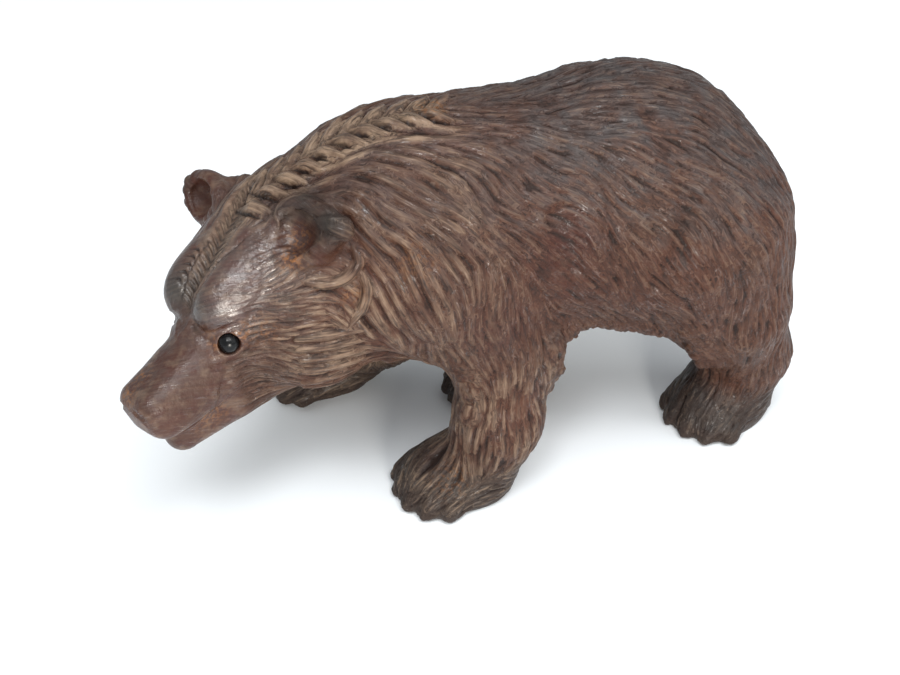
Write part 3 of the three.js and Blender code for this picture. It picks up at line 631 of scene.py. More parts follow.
RIDGE = [
    (-76, -4.5, 116), (-66, -1.5, 121), (-54, 0, 127), (-40, 0.5, 134), (-26, 0, 137.5), (-12, 0, 139),
]
RIDGE_PAIRS = 10
RIDGE_STEPS = 60


def mane_ridge(raised, cut):
    """Leaf-like locks that lean out by turns, from between the ears to the hump."""
    t = np.linspace(0, len(RIDGE) - 1, RIDGE_STEPS)
    line = curve_through(np.array(RIDGE, float), t)
    far = np.concatenate([[0], np.cumsum(length_of(np.diff(line, axis=0)))])
    for i in range(RIDGE_PAIRS):
        for side in (-1, 1):
            share = min((i + (0.5 if side > 0 else 0)) / RIDGE_PAIRS, 1) * far[-1]
            root = np.array([np.interp(share, far, line[:, k]) for k in range(3)])
            leaf = np.array([[0, 0, 0], [5, side * 3.2, 0.5], [10, side * 7.5, -1]])
            raised.line(root + leaf, [1.3, 2.9, 0.9], [1.3, 2.2, 1.5], 5)
            edge = np.array([[-1.5, side * -1.0, 0], [3.2, side * 5.0, 0], [8.6, side * 9.8, -2]])
            cut.line(root + edge, [0.8, 1.2, 0.6], [0.5, 1.3, 0.3], 5)


CHANNEL = [(-2, 2, 27), (10, 2, 25), (25, 2, 19.5), (37, 1, 12.5)]
CRESCENTS = [(33, -6.5, 17), (30.5, -5.5, 18), (28, -5.5, 19), (25.5, -6, 20), (23, -6, 20.5)]


def channel_strokes(raised, cut, scoop):
    """The broad channel over the forehead, with a herringbone of short raised strokes."""
    channel = np.array(CHANNEL, float)
    scoop.line(on_face(1, channel), [4.6, 5.6, 5.2, 3.2], [1.0, 1.6, 1.6, 1.1])
    for x in np.arange(1, 38.5, 2.3):
        top = np.interp(x, channel[:, 0], channel[:, 2])
        left = [(x, 1.6, top), (x - 3.2, 4.6, top + 1), (x - 5.4, 7.6, top + 1)]
        right = [(x + 0.6, 1.0, top), (x - 1.4, -1.2, top + 1), (x - 2.6, -3.2, top + 1)]
        raised.line(on_face(1, left), [0.5, 0.85, 0.5], [0.4, 0.75, 0.3], 3)
        raised.line(on_face(1, right), [0.5, 0.8, 0.5], [0.4, 0.7, 0.3], 3)
    inner_left = [(39, 4.5, 9), (36, 6, 14), (30.5, 7.5, 19), (24, 8, 21), (19, 10, 22), (10, 13, 23)]
    inner_right = [(38, -3, 11), (34, -3, 14.5), (29.5, -3.5, 17.5), (23.5, -3.5, 19.5), (18, -2.5, 21.5)]
    cut.line(on_face(1, inner_left), 0.9, [0.5, 1.0, 1.2, 1.1, 0.9, 0.3], 4)
    cut.line(on_face(1, inner_right), 0.8, [0.3, 0.7, 0.8, 0.7, 0.3], 4)
    for x, y, z in CRESCENTS:
        arch = [(x + 1.0, y + 2.2, z), (x - 0.5, y - 0.3, z), (x + 0.6, y - 3.0, z - 0.8)]
        cut.line(on_head(arch), [0.6, 0.95, 0.6], [0.5, 1.3, 0.5], 4)


EAR_RIM = [(6, 18.5, 22), (1.5, 17.5, 26), (-3, 19, 26), (-7, 24, 24), (-4.5, 35, 23.5), (-1, 39, 17.5)]


def ear_strokes(raised, scoop):
    """The left ear's rim, and its hollow drawn out to its tip."""
    raised.line(on_face(1, EAR_RIM), [0.8, 1.4, 1.5, 1.4, 1.5, 1.0], [0.5, 1.3, 1.2, 1.1, 1.2, 0.5], 5)
    middle = EARS[0][0].middle
    hollow = middle + np.array([(6, 0, -2), (5.5, 0, 3), (3.5, -0.5, 7.5)]) @ ear_turn(1).T
    scoop.line(hollow, [4.6, 5.4, 3.6], [0.8, 3.0, 2.0], 5)


def face_strokes(raised, cut, scoop):
    """The named cuts and curls of the head."""
    channel_strokes(raised, cut, scoop)
    ear_strokes(raised, scoop)
    for side in (1, -1):
        crease = [(40, 5, 8), (41, 11, 5.5), (36, 16, 5), (27, 20, 6)]
        scoop.line(on_face(side, crease), [2.2, 2.4, 2.6, 1.6], [1.0, 0.9, 1.0, 0.4])
        mouth = [(71, 0, -13), (67, 7, -14), (60, 10.5, -16), (54, 10.6, -18.5), (49, 10, -20)]
        cut.line(on_face(side, mouth), [1.0, 1.1, 1.2, 1.2, 0.8], [1.8, 2.0, 2.0, 1.5, 0.6], 5)
        cheek = [(43, 14.5, -6), (46, 13.3, -11), (50, 11, -17)]
        scoop.line(on_face(side, cheek), [1.8, 2.4, 1.6], [0.5, 0.9, 0.5], 4)
        bag = [(45, 12, -2.5), (42, 14.5, -5), (36, 17.5, -4.5), (30, 20, -1)]
        scoop.line(on_face(side, bag), [1.0, 1.7, 1.5, 0.8], [0.5, 0.9, 0.8, 0.3], 4)
        scoop.line(on_face(side, [(70, 4, -2), (69, 6.5, -3)]), [1.4, 1.0], [1.0, 0.7], 4)
        curl = [(-4, 36, 10.5), (-2, 38, 6.5), (3, 35.5, 4), (8, 32, 5), (12, 29, 8)]
        raised.line(on_face(side, curl), [1.0, 2.2, 2.3, 2.0, 0.8], [0.9, 1.9, 1.9, 1.7, 0.6], 5)
        curl = [(-1, 39, 4), (1, 40, -1.5), (4.5, 38, -7), (9, 34.5, -11)]
        raised.line(on_face(side, curl), [1.0, 2.2, 2.2, 0.8], [0.9, 1.9, 1.8, 0.6], 5)
        for i in range(6):
            t = i / 5
            root = (24 - 2 * t, 28 - 11 * t, -6 - 20 * t)
            middle = (16 - t, 33 - 12 * t, -10 - 20 * t)
            end = (7 + t, 36 - 13 * t, -15 - 19 * t)
            raised.line(on_face(side, [root, middle, end]), [1.2, 2.3, 0.8], [0.8, 1.3, 0.9], 5)


# Broad hollows of both sides, given on the right: their places, half widths and depths.
BROAD_HOLLOWS = [
    # A soft fold down the front of the haunch.
    (
        [(54.5, 17, 134), (54.5, 26.5, 126.5), (57, 34, 116), (59.5, 40, 105.5), (60.5, 44, 98.5)],
        [1.0, 1.8, 2.4, 2.2, 1.2], [0.2, 0.8, 1.2, 1.0, 0.3], 5,
    ),
    # Behind the shoulder.
    ([(17, 36, 114), (20, 37, 96)], [5.4, 5.2], 1.3, 6),
    # The valley between flank and haunch.
    (
        [(52, 18, 135), (56, 28, 127), (59, 36, 115), (57, 41, 102), (50, 40, 86)],
        [4.0, 4.5, 4.5, 4.5, 4.0], 1.2, 6,
    ),
]


def broad_hollows(scoop):
    for side in (-1, 1):
        for places, widths, depths, steps in BROAD_HOLLOWS:
            scoop.line(np.array(places) * (1, side, 1), widths, depths, steps)


def eye_places():
    """The middle of each bead and the way that it looks, left then right."""
    places, out = settle(np.concatenate([on_face(side, [(37.7, 14.7, 0.9)]) for side in (1, -1)]), 4)
    return places + out * (EYE_PROUD - EYE_DIAMETER / 2), out


def node_middle(name):
    low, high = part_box(name)
    return np.array((low + high) / 2) / MM


EYES, EYES_OUT = eye_places()
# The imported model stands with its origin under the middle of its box.
SHIFT = node_middle("glass_eye_left") - EYES[0]


def places_of(mesh):
    found = np.empty(len(mesh.vertices) * 3, np.float32)
    mesh.vertices.foreach_get("co", found)
    return found.reshape(-1, 3).astype(float)


def set_places(mesh, points):
    """Moves the mesh's points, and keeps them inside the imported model's box."""
    low, high = (np.array(corner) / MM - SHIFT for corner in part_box("bear_carving"))
    points = np.clip(points, low + BOX_MARGIN, high - BOX_MARGIN)
    mesh.vertices.foreach_set("co", ((points + SHIFT) * MM).astype(np.float32).ravel())
    mesh.update()
    return points


def new_object(name, data):
    made = bpy.data.objects.new(name, data)
    bpy.context.scene.collection.objects.link(made)
    return made


def evaluated_mesh(obj):
    graph = bpy.context.evaluated_depsgraph_get()
    return bpy.data.meshes.new_from_object(obj.evaluated_get(graph))


def dense_block(spacing):
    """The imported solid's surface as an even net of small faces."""
    work = new_object("block_work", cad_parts["bear_carving"].data.copy())
    net = bmesh.new()
    net.from_mesh(work.data)
    bmesh.ops.remove_doubles(net, verts=net.verts, dist=1e-7)
    net.to_mesh(work.data)
    net.free()
    remesh = work.modifiers.new("net", "REMESH")
    remesh.mode = "VOXEL"
    remesh.voxel_size = spacing * MM
    remesh.adaptivity = 0
    mesh = evaluated_mesh(work)
    bpy.data.objects.remove(work)
    return mesh


def refined(mesh, chosen):
    """Halves the edges whose two ends are both chosen."""
    net = bmesh.new()
    net.from_mesh(mesh)
    net.verts.ensure_lookup_table()
    edges = [e for e in net.edges if chosen[e.verts[0].index] and chosen[e.verts[1].index]]
    bmesh.ops.subdivide_edges(net, edges=edges, cuts=1, use_grid_fill=True)
    bmesh.ops.triangulate(net, faces=net.faces)
    net.to_mesh(mesh)
    net.free()
    return mesh


def add_values(mesh, name, values):
    if values.ndim == 1:
        attribute = mesh.attributes.new(name, "FLOAT", "POINT")
        attribute.data.foreach_set("value", values.astype(np.float32))
    else:
        attribute = mesh.attributes.new(name, "FLOAT_VECTOR", "POINT")
        attribute.data.foreach_set("vector", values.astype(np.float32).ravel())


def in_ball(points, middle, radius, soft):
    return smooth_step(radius + soft, radius - soft, length_of(points - np.asarray(middle, float)))


# Balls of smooth wood on each side of the face, with their radii, and along its channel.
BARE_SIDES = [(34, 11, 11, 10), (25, 12, 16, 10), (17, 13, 20, 8), (38, 15, 1, 6)]
BARE_CHANNEL = [(36, 0, 12), (26, 0, 19), (15, 0, 23), (6, 0, 26)]


def bare_share(points, local):
    """Where the wood is left smooth: muzzle, brow pads, ears, and the undersides of the paws."""
    balls = [(on_face(side, place), radius, 2) for side in (1, -1) for *place, radius in BARE_SIDES]
    balls += [(on_face(1, place), 6.5, 1.5) for place in BARE_CHANNEL]
    balls += [(cup.middle, 11.5, 2) for cup, _, _ in EARS]
    bare = smooth_step(37, 44, local[:, 0])
    for middle, radius, soft in balls:
        bare = np.maximum(bare, in_ball(points, middle, radius, soft))
    bare = np.maximum(bare, smooth_step(4, 1.5, points[:, 2]))
    for side in (-1, 1):
        for z in (93, 101, 109):
            bare = np.maximum(bare, 0.4 * in_ball(points, (20, side * 37, z), 6, 6))
    return np.clip(bare, 0, 1)


def spots(head, body=()):
    """Spots from short rows of x, y, z, radius and strength, on the head and on the body."""
    rows = [(on_head(place), radius, strength) for *place, radius, strength in head]
    return rows + [(np.array(place, float), radius, strength) for *place, radius, strength in body]


WORN_SPOTS = spots(
    [
        (68, -3, 1, 3.5, 0.8), (61, -3, 3, 3, 0.8), (53, 7, -20, 5, 1.0), (41, 12, 4, 3, 0.7),
        (33, 16.5, 2, 3.5, 0.9), (28, 19.5, 0, 4, 0.6), (11, 25, 16, 4, 0.9), (5, 37, -1, 3.5, 0.7),
        (70, 3, -6, 2.5, 0.7), (4, 22.5, 17, 3.5, 0.7),
    ],
    [(-14, 0, 139, 5, 0.9), (-30, -36, 110, 7, 0.4), (-19, -38, 14, 6, 0.5)],
)
RED_SPOTS = spots(
    [(3, 24, 21, 8, 1.0), (5, -34, 20, 5, 0.6), (28, 20, 4, 12, 0.5), (38, 14, 8, 7, 0.5)],
    [
        (19, -37, 102, 15, 1.0), (24, -38, 88, 15, 0.6), (-28, -40, 88, 18, 0.5),
        (19, 37, 102, 15, 0.8), (50, -36, 84, 18, 0.35), (-4, -43, 80, 14, 0.8),
    ],
)
# Spots of the head that take the paws' deep colour: those on the ears paint the shade in their hollows.
DARK_AND_SHADE_SPOTS = spots([
    (36, -6, 15, 8, 1.0), (37, 8, 13, 5, 0.9), (2, 31, 25, 6, 0.9), (0, 36, 24, 7, 1.0),
    (2, -38, 22, 4, 0.7), (8, 26, 13, 4, 0.5), (2, 18.5, 24.5, 4, 0.8), (0, 25, 25, 6, 0.8),
    (-5, 22, 26, 5, 0.8),
])
EAR_SPOTS = [(on_face(side, (0, y, 21)), 10, 1.0) for side in (1, -1) for y in (26, 37)]
PAD_SPOTS = [
    (on_face(side, place), 12, 1.0)
    for side in (1, -1) for place in ((33, 13, 11), (25, 14, 15), (17, 15, 18))
]


def spots_at(points, chosen):
    """How much of the chosen spots each point has."""
    total = np.zeros(len(points))
    for middle, radius, strength in chosen:
        total = np.maximum(total, strength * np.exp(-(length_of(points - middle) / radius) ** 2))
    return total


# A lock of the coat is low and narrow at its root and ends in a blunt tip.
LOCK_WIDTHS = np.array([0.55, 0.8, 1.0, 1.0, 0.95, 0.8, 0.35])
LOCK_HEIGHTS = np.array([0.3, 0.6, 0.85, 0.95, 1.0, 0.9, 0.35])
COAT_ALONG = 8.0
COAT_LENGTH = 17.0
COAT_TRIES = 40000
COAT_MEAN = 0.6  # the coat's mean height, as a share of a lock's


def lock_size(points, local):
    """How large the locks are: largest on the neck, smaller on flanks, legs and head."""
    head = smooth_step(2, 14, local[:, 0])
    neck = smooth_step(-4, -24, points[:, 0]) * (1 - head)
    low = smooth_step(66, 48, points[:, 2]) * (1 - head)
    paw = smooth_step(24, 12, points[:, 2])
    flank = np.exp(-(((points[:, 0] - 18) / 26) ** 2)) * smooth_step(66, 90, points[:, 2])
    return 0.98 + 0.5 * neck - 0.12 * flank - 0.25 * head - 0.05 * low - 0.15 * paw


def coat_locks(points, out, local, bare, gap, height):
    """The locks that cover the furred wood, each traced along the coat's lie."""
    rng = np.random.default_rng(11)
    furred = np.nonzero(bare < 0.6)[0]
    some = rng.choice(furred, min(len(furred), COAT_TRIES), replace=False)
    size = lock_size(points[some], local[some])
    kept = scattered(points[some], lie_at(points[some], out[some]), gap * size, COAT_ALONG * size, 5)
    chosen, size = some[kept], size[kept]
    count = len(chosen)
    lines = traced(points[chosen], out[chosen], COAT_LENGTH * size * rng.uniform(0.8, 1.25, count), 3)
    widths = gap * 0.9 * size * rng.uniform(0.85, 1.15, count)
    heights = height * size * rng.uniform(0.7, 1.15, count) * (1 - bare[chosen])
    coat = Strokes(2)
    coat.add(lines, widths[:, None] * LOCK_WIDTHS, heights[:, None] * LOCK_HEIGHTS)
    return coat


class Carving:
    """All that is cut into the smooth bear."""

    def __init__(self, points, out, gap, height):
        local = in_head(points)
        self.height = height
        self.coat = coat_locks(points, out, local, bare_share(points, local), gap, height)
        self.rows = Strokes()
        self.raised = Strokes(3)
        self.cut = Strokes(0, vee_profile)
        self.scoop = Strokes()
        seeds, seeds_out = row_seeds()
        locks = forward_traced(seeds, seeds_out, ROW_LOCK_LENGTH, 5)
        self.rows.add(locks, ROW_LOCK_WIDTHS, ROW_LOCK_HEIGHTS)
        mane_ridge(self.raised, self.cut)
        face_strokes(self.raised, self.cut, self.scoop)
        broad_hollows(self.scoop)

    def felt(self, points, out):
        """What each kind of stroke gives the points: the coat, the named strokes that stand
        over it with their share of cover, the scoops and the cuts."""
        coat, strand = self.coat.laid_on(points, out)
        named, named_strand = self.raised.laid_on(points, out)
        scooped, _ = self.scoop.laid_on(points, out)
        cuts, _ = self.cut.laid_on(points, out)
        strand = np.where((named > 0.1)[:, None], named_strand, strand)
        return coat, strand, named, smooth_step(0, 0.5, named), scooped, cuts

    def height_at(self, points, out):
        bare = bare_share(points, in_head(points))
        coat, _, named, cover, scooped, cuts = self.felt(points, out)
        rows, _ = self.rows.laid_on(points, out)
        fur = coat - COAT_MEAN * self.height * (1 - bare)
        height = fur * (1 - cover) + named + 0.5 * rows * (1 - bare) - scooped - cuts
        for place, eye_out in zip(EYES, EYES_OUT):
            gap = points - place
            along = gap @ eye_out
            aside = length_of(gap - along[:, None] * eye_out)
            socket = EYE_DIAMETER / 2 + SOCKET_CLEARANCE
            floor = -np.sqrt(np.maximum(socket**2 - aside**2, 0))
            near = np.abs(along) < SOCKET_REACH
            inside = (aside < socket) & near
            height = np.where(inside, np.minimum(height, floor - along), height)
            height += LID_HEIGHT * np.exp(-(((aside - socket - 0.3) / LID_WIDTH) ** 2)) * near * ~inside
        return height

    def values_at(self, points, out):
        """What the finish needs to know of each point."""
        local = in_head(points)
        bare = bare_share(points, local)
        coat, strand, named, cover, scooped, cuts = self.felt(points, out)
        smooth = (named < 0.1) & (bare > 0.5)
        strand = np.where(smooth[:, None], hatch_at(points, local), strand)
        high = coat / (self.height * lock_size(points, local))
        furred = (1 - bare) * (1 - cover)
        # The low wood between the locks and at the foot of the raised strokes, with the cuts and scoops,
        # makes the share of the grooves: stain settled there, and painted shade.
        sunk = np.clip(1.05 - 1.9 * high, 0, 1) * furred
        # The tops of the locks and raised strokes, and the forehead, are lightened: worn pale, and a
        # painted highlight.
        crest = np.maximum(smooth_step(0.55, 0.95, high) * furred, smooth_step(0.15, 0.7, named))
        crest = np.maximum(crest, 0.55 * forehead_share(local) * (1 - np.clip(cuts, 0, 1)))
        edge = np.where(named > 0.02, 0.9 * smooth_step(0.7, 0.1, named), 0) * cover
        pads = spots_at(points, PAD_SPOTS)
        return {
            "bare": bare,
            "groove": np.clip(np.maximum(sunk, edge) + cuts / 1.1 + scooped / 4, 0, 1.5),
            "grain": np.maximum(np.maximum(1 - bare, 0.3), np.maximum(0.75 * pads, cover)),
            "strand": strand,
            "rubbed": crest * rubbed_and_highlight_share(points, local) * (1 - spots_at(points, EAR_SPOTS)),
            "gloss": np.maximum(pads, 0.2 * smooth_step(36, 46, local[:, 0])),
        }


def hatch_at(points, local):
    """Across and along the fine gouge marks of the smooth wood: over the brow pads they run
    level as the bear is seen from its left, and dip towards the ear."""
    head_up = np.array([-0.57, -0.52, 0.62])
    head_back = np.array([-0.67, 0.74, 0.0])
    aside = (local - (30, 14, 12)) @ head_back
    level = local @ head_up + 0.02 * np.maximum(aside, 0) ** 2
    on_skull = np.stack([level, aside, np.zeros(len(points))], 1)
    elsewhere = np.stack([points[:, 0] + 0.4 * points[:, 2], points[:, 2], np.ones(len(points))], 1)
    return np.where((local[:, 0] > -6)[:, None], on_skull, elsewhere)


def thinned(obj, most):
    """Takes the net down to a number of triangles and keeps the sharp strokes."""
    decimate = obj.modifiers.new("thin", "DECIMATE")
    obj.data.calc_loop_triangles()
    decimate.ratio = min(most / len(obj.data.loop_triangles), 1)
    decimate.use_collapse_triangulate = True
    mesh = evaluated_mesh(obj)
    obj.modifiers.clear()
    obj.data = mesh


WAX_IOR = 1.48
GLASS_IOR = 1.52


# Colours are sRGB hex values. A node's socket takes them as linear light.
def linear(hex_colour):
    channels = [int(hex_colour[i : i + 2], 16) / 255 for i in (1, 3, 5)]
    return tuple(c / 12.92 if c <= 0.04045 else ((c + 0.055) / 1.055) ** 2.4 for c in channels)


def new_material(name):
    material = bpy.data.materials.new(name)
    material.use_nodes = True
    material.node_tree.nodes.clear()
    return material


def add_node(tree, kind, settings=None, links=None):
    """Adds a node. settings are its properties, or its sockets' values, by name; links
    say which socket of another node feeds each input."""
    node = tree.nodes.new(kind)
    for name, value in (settings or {}).items():
        if name in node.bl_rna.properties:
            setattr(node, name, value)
        else:
            node.inputs[name].default_value = value
    for name, source in (links or {}).items():
        tree.links.new(source, node.inputs[name])
    return node


def stained_limewood(colours):
    """Limewood, gouge cut, stained a deep brown and waxed. The stain settles in the cuts and painted shade
    darkens the grooves; a dusty grey that also paints sheen covers the faces that look up; a dusting, wear
    and a painted highlight lighten the ridges; and the wax leaves a broken satin gloss."""
    material = new_material("stained_waxed_limewood")
    tree = material.node_tree
    place = add_node(tree, "ShaderNodeTexCoord").outputs["Object"]

    def value(name):
        return add_node(tree, "ShaderNodeAttribute", {"attribute_name": name}).outputs["Fac"]

    def noise(millimetres, detail=3.0, roughness=0.55):
        settings = {"Scale": 1 / (millimetres * MM), "Detail": detail, "Roughness": roughness}
        return add_node(tree, "ShaderNodeTexNoise", settings, {"Vector": place}).outputs["Fac"]

    def span(source, low, high, to_low=0.0, to_high=1.0):
        settings = {"From Min": low, "From Max": high, "To Min": to_low, "To Max": to_high, "clamp": True}
        return add_node(tree, "ShaderNodeMapRange", settings, {"Value": source}).outputs["Result"]

    def math_node(operation, a, b):
        node = add_node(tree, "ShaderNodeMath", {"operation": operation}, {0: a})
        if isinstance(b, float):
            node.inputs[1].default_value = b
        else:
            tree.links.new(b, node.inputs[1])
        return node.outputs[0]

    def times(a, b):
        return math_node("MULTIPLY", a, b)

    def plus(a, b):
        return math_node("ADD", a, b)

    def mixed(share, a, b):
        node = tree.nodes.new("ShaderNodeMix")
        node.data_type = "RGBA"
        tree.links.new(share, node.inputs["Factor"])
        for socket, source in ((node.inputs[6], a), (node.inputs[7], b)):
            if isinstance(source, tuple):
                socket.default_value = (*source, 1)
            else:
                tree.links.new(source, socket)
        return node.outputs[2]

    def gouge(across, along):
        """Fine lines that run along the strokes, this far apart and this long, in millimetres."""
        scale = add_node(tree, "ShaderNodeCombineXYZ", {"X": 1 / across, "Y": 1 / along, "Z": 1.0})
        strand = add_node(tree, "ShaderNodeAttribute", {"attribute_name": "strand"})
        line = add_node(
            tree, "ShaderNodeVectorMath", {"operation": "MULTIPLY"},
            {0: strand.outputs["Vector"], 1: scale.outputs["Vector"]},
        )
        settings = {"Scale": 1.0, "Detail": 2.0, "Roughness": 0.6}
        return add_node(tree, "ShaderNodeTexNoise", settings, {"Vector": line.outputs[0]}).outputs["Fac"]

    lines = gouge(0.8, 9)
    hairs = gouge(0.3, 4)
    grain = value("grain")

    stain = mixed(span(noise(28, 4), 0.35, 0.65), colours["stain"], colours["stain_red"])
    patchy = (
        ("red", noise(9, 5), 0.35, 0.6, 0.4, 1.0, "hollow"),
        # the dusty grey of faces that look up, also painted sheen
        ("dust", noise(7, 5), 0.32, 0.62, 0.3, 1.0, "dust"),
        ("bare", noise(3.6, 6), 0.46, 0.6, 0.0, 0.6, "hollow"),
        ("bare", noise(5.2, 5), 0.5, 0.64, 0.0, 0.25, "rubbed"),
        # the pale of worn tops of the strokes, also a painted highlight
        ("rubbed", noise(5, 4), 0.35, 0.6, 0.3, 0.9, "rubbed"),
        # the paws' deep colour, also painted shade in the ears' hollows
        ("dark", None, 0, 0, 0, 0, "paw"),
        ("worn", noise(1.3, 6), 0.48, 0.58, 0.0, 0.85, "worn"),
    )
    for name, pattern, low, high, to_low, to_high, colour in patchy:
        share = value(name)
        if pattern is not None:
            share = times(share, span(pattern, low, high, to_low, to_high))
        stain = mixed(share, stain, colours[colour])
    # Pale gouge lines, more of them where the tops are worn and painted with a highlight.
    pale = times(plus(value("rubbed"), 0.4), span(lines, 0.54, 0.7, 0, 0.5))
    stain = mixed(times(grain, span(lines, 0.53, 0.33, 0, 0.8)), stain, colours["cut"])
    stain = mixed(times(grain, pale), stain, colours["rubbed"])
    stain = mixed(times(grain, span(hairs, 0.5, 0.3, 0, 0.4)), stain, colours["cut"])
    # The grooves take the near black of the cuts: stain settled there, and painted shade.
    stain = mixed(span(value("groove"), 0.3, 0.9, 0, 0.9), stain, colours["cut"])

    gloss = value("gloss")
    patches = noise(6, 4)
    glints = times(span(patches, 0.48, 0.6), span(hairs, 0.56, 0.66))
    wax = span(plus(glints, times(gloss, span(patches, 0.4, 0.6, 0.4, 0.8))), 0, 1, 0.46, 0.2)
    shine = plus(span(gloss, 0, 1, 0.18, 1.0), times(glints, 0.7))
    links = {}
    for strength, depth, height in (
        (0.8, 0.3, times(lines, grain)), (0.6, 0.12, times(hairs, grain)), (0.6, 0.6, noise(2.2, 4)),
    ):
        settings = {"Strength": strength, "Distance": depth * MM}
        bump = add_node(tree, "ShaderNodeBump", settings, {"Height": height, **links})
        links = {"Normal": bump.outputs["Normal"]}
    links.update({"Base Color": stain, "Roughness": wax, "Specular IOR Level": shine})
    shader = add_node(tree, "ShaderNodeBsdfPrincipled", {"IOR": WAX_IOR}, links)
    add_node(tree, "ShaderNodeOutputMaterial", {}, {"Surface": shader.outputs["BSDF"]})
    return material


def plain_material(name, colour, scale, roughness, settings):
    """One even colour, whose roughness wanders between two values."""
    material = new_material(name)
    tree = material.node_tree
    place = add_node(tree, "ShaderNodeTexCoord").outputs["Object"]
    smear = add_node(tree, "ShaderNodeTexNoise", {"Scale": scale, "Detail": 2.0}, {"Vector": place})
    rough = add_node(
        tree, "ShaderNodeMapRange",
        {"From Min": 0.3, "From Max": 0.7, "To Min": roughness[0], "To Max": roughness[1]},
        {"Value": smear.outputs["Fac"]},
    )
    shader = add_node(
        tree, "ShaderNodeBsdfPrincipled", {"Base Color": (*colour, 1), **settings},
        {"Roughness": rough.outputs["Result"]},
    )
    add_node(tree, "ShaderNodeOutputMaterial", {}, {"Surface": shader.outputs["BSDF"]})
    return material


def black_glass(colour):
    """A moulded black glass bead: nearly no colour, and a small soft highlight."""
    settings = {"IOR": GLASS_IOR, "Specular IOR Level": 0.25}
    return plain_material("moulded_black_glass", colour, 1 / (1.5 * MM), (0.16, 0.32), settings)


def pale_floor(colour):
    """A matt pale board, lit nearly white."""
    return plain_material("matt_pale_board", colour, 3.0, (0.75, 0.85), {})


def forehead_share(local):
    """The channel over the forehead, between the brow pads."""
    x, y, z = local.T
    across = smooth_step(9, 5, np.abs(y - 1))
    return across * smooth_step(-14, 0, x) * smooth_step(40, 34, x) * smooth_step(5, 9, z)


def rubbed_and_highlight_share(points, local):
    """Where the tops of the strokes are worn pale and given a painted highlight: mane, forehead, neck, ruff
    and forelegs.
    """
    mane = smooth_step(0, -20, points[:, 0]) * smooth_step(16, 7, np.abs(points[:, 1] + 2))
    neck = 0.3 * smooth_step(10, -20, points[:, 0])
    ruff = 0.6 * in_ball(points, on_head((10, 30, -10)), 22, 8)
    leg = 0.5 * smooth_step(75, 50, points[:, 2]) * smooth_step(40, 20, points[:, 0])
    shares = (mane, forehead_share(local), neck, ruff, leg)
    return np.clip(np.max(shares, 0) + 0.04, 0, 1)


def tones(points, out, groove):
    """How dusty, with painted sheen where the faces look up; how deeply stained, with painted shade in the
    ears' hollows; and how red and worn each point is.
    """
    # Faces that look up, more so towards the rump, get the dusty grey, which also paints the sheen they
    # catch from above; less of it in the grooves.
    up = smooth_step(0.1, 0.8, out[:, 2])
    rear = smooth_step(-30, 30, points[:, 0])
    dust = (0.08 + 0.92 * up * (0.4 + 0.6 * rear)) * (1 - 0.6 * np.clip(groove, 0, 1))
    # The paws' deep stain, low down, and the head's spots, those on the ears painting the shade in their
    # hollows.
    dark = np.maximum(spots_at(points, DARK_AND_SHADE_SPOTS), 0.75 * smooth_step(26, 10, points[:, 2]))
    red, worn = spots_at(points, RED_SPOTS), spots_at(points, WORN_SPOTS)
    return {"dust": dust, "dark": dark, "red": red, "worn": worn}


def rides(obj, node):
    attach(obj, "root")
    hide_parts(node)


class BearCarvingSettings(bpy.types.PropertyGroup):
    """Sizes of the carving."""

    net_spacing: bpy.props.FloatProperty(
        name="Net spacing", description="Spacing of the net that the strokes are cut into",
        default=0.62 * MM, min=0.4 * MM, unit="LENGTH", precision=5,
    )
    stroke_gap: bpy.props.FloatProperty(
        name="Stroke gap", description="Spacing of the coat's strokes, side by side",
        default=1.65 * MM, min=1 * MM, unit="LENGTH", precision=5,
    )
    stroke_height: bpy.props.FloatProperty(
        name="Stroke height", description="How far a lock of the coat stands out of the cuts beside it",
        default=1.15 * MM, min=0, unit="LENGTH", precision=5,
    )
    triangles: bpy.props.IntProperty(
        name="Triangles", description="Triangles kept on the carving", default=194000, min=20000, max=199000
    )


def colour_property(name, description, hex_colour):
    return bpy.props.FloatVectorProperty(
        name=name, description=description, default=linear(hex_colour),
        subtype="COLOR", size=3, min=0, max=1,
    )


class BearFinishSettings(bpy.types.PropertyGroup):
    """Colours of the finish."""

    stain: colour_property("Stain", "Brown stain over most of the wood", "#422a1f")
    stain_red: colour_property("Red stain", "Warmer patches of the stain", "#48281a")
    hollow: colour_property("Hollow", "Dark red where the wood is scooped out", "#3b1a12")
    # The dusty grey also paints the sheen of faces that look up.
    dust: colour_property("Dust", "Grey brown of the dusty back", "#423d3d")
    # The pale of the strokes' tops is wear and a painted highlight.
    rubbed: colour_property("Rubbed", "Pale grey brown where the strokes' tops are rubbed", "#84705e")
    # The near black of the cuts is stain, and painted shade in the grooves.
    cut: colour_property("Cut", "Nearly black stain at the bottom of the cuts", "#1e1411")
    # The paws' deep stain also paints the shade in the ears' hollows.
    paw: colour_property("Paw", "Dark stain of the paws", "#2f2b28")
    worn: colour_property("Worn", "Ochre wood where the stain is rubbed off", "#80532c")
    glass: colour_property("Glass", "Black of the glass beads", "#08090b")
    floor: colour_property("Floor", "The pale board that the bear stands on", "#e9eef2")


FINISH_KEYS = ("stain", "stain_red", "hollow", "dust", "rubbed", "cut", "paw", "worn")


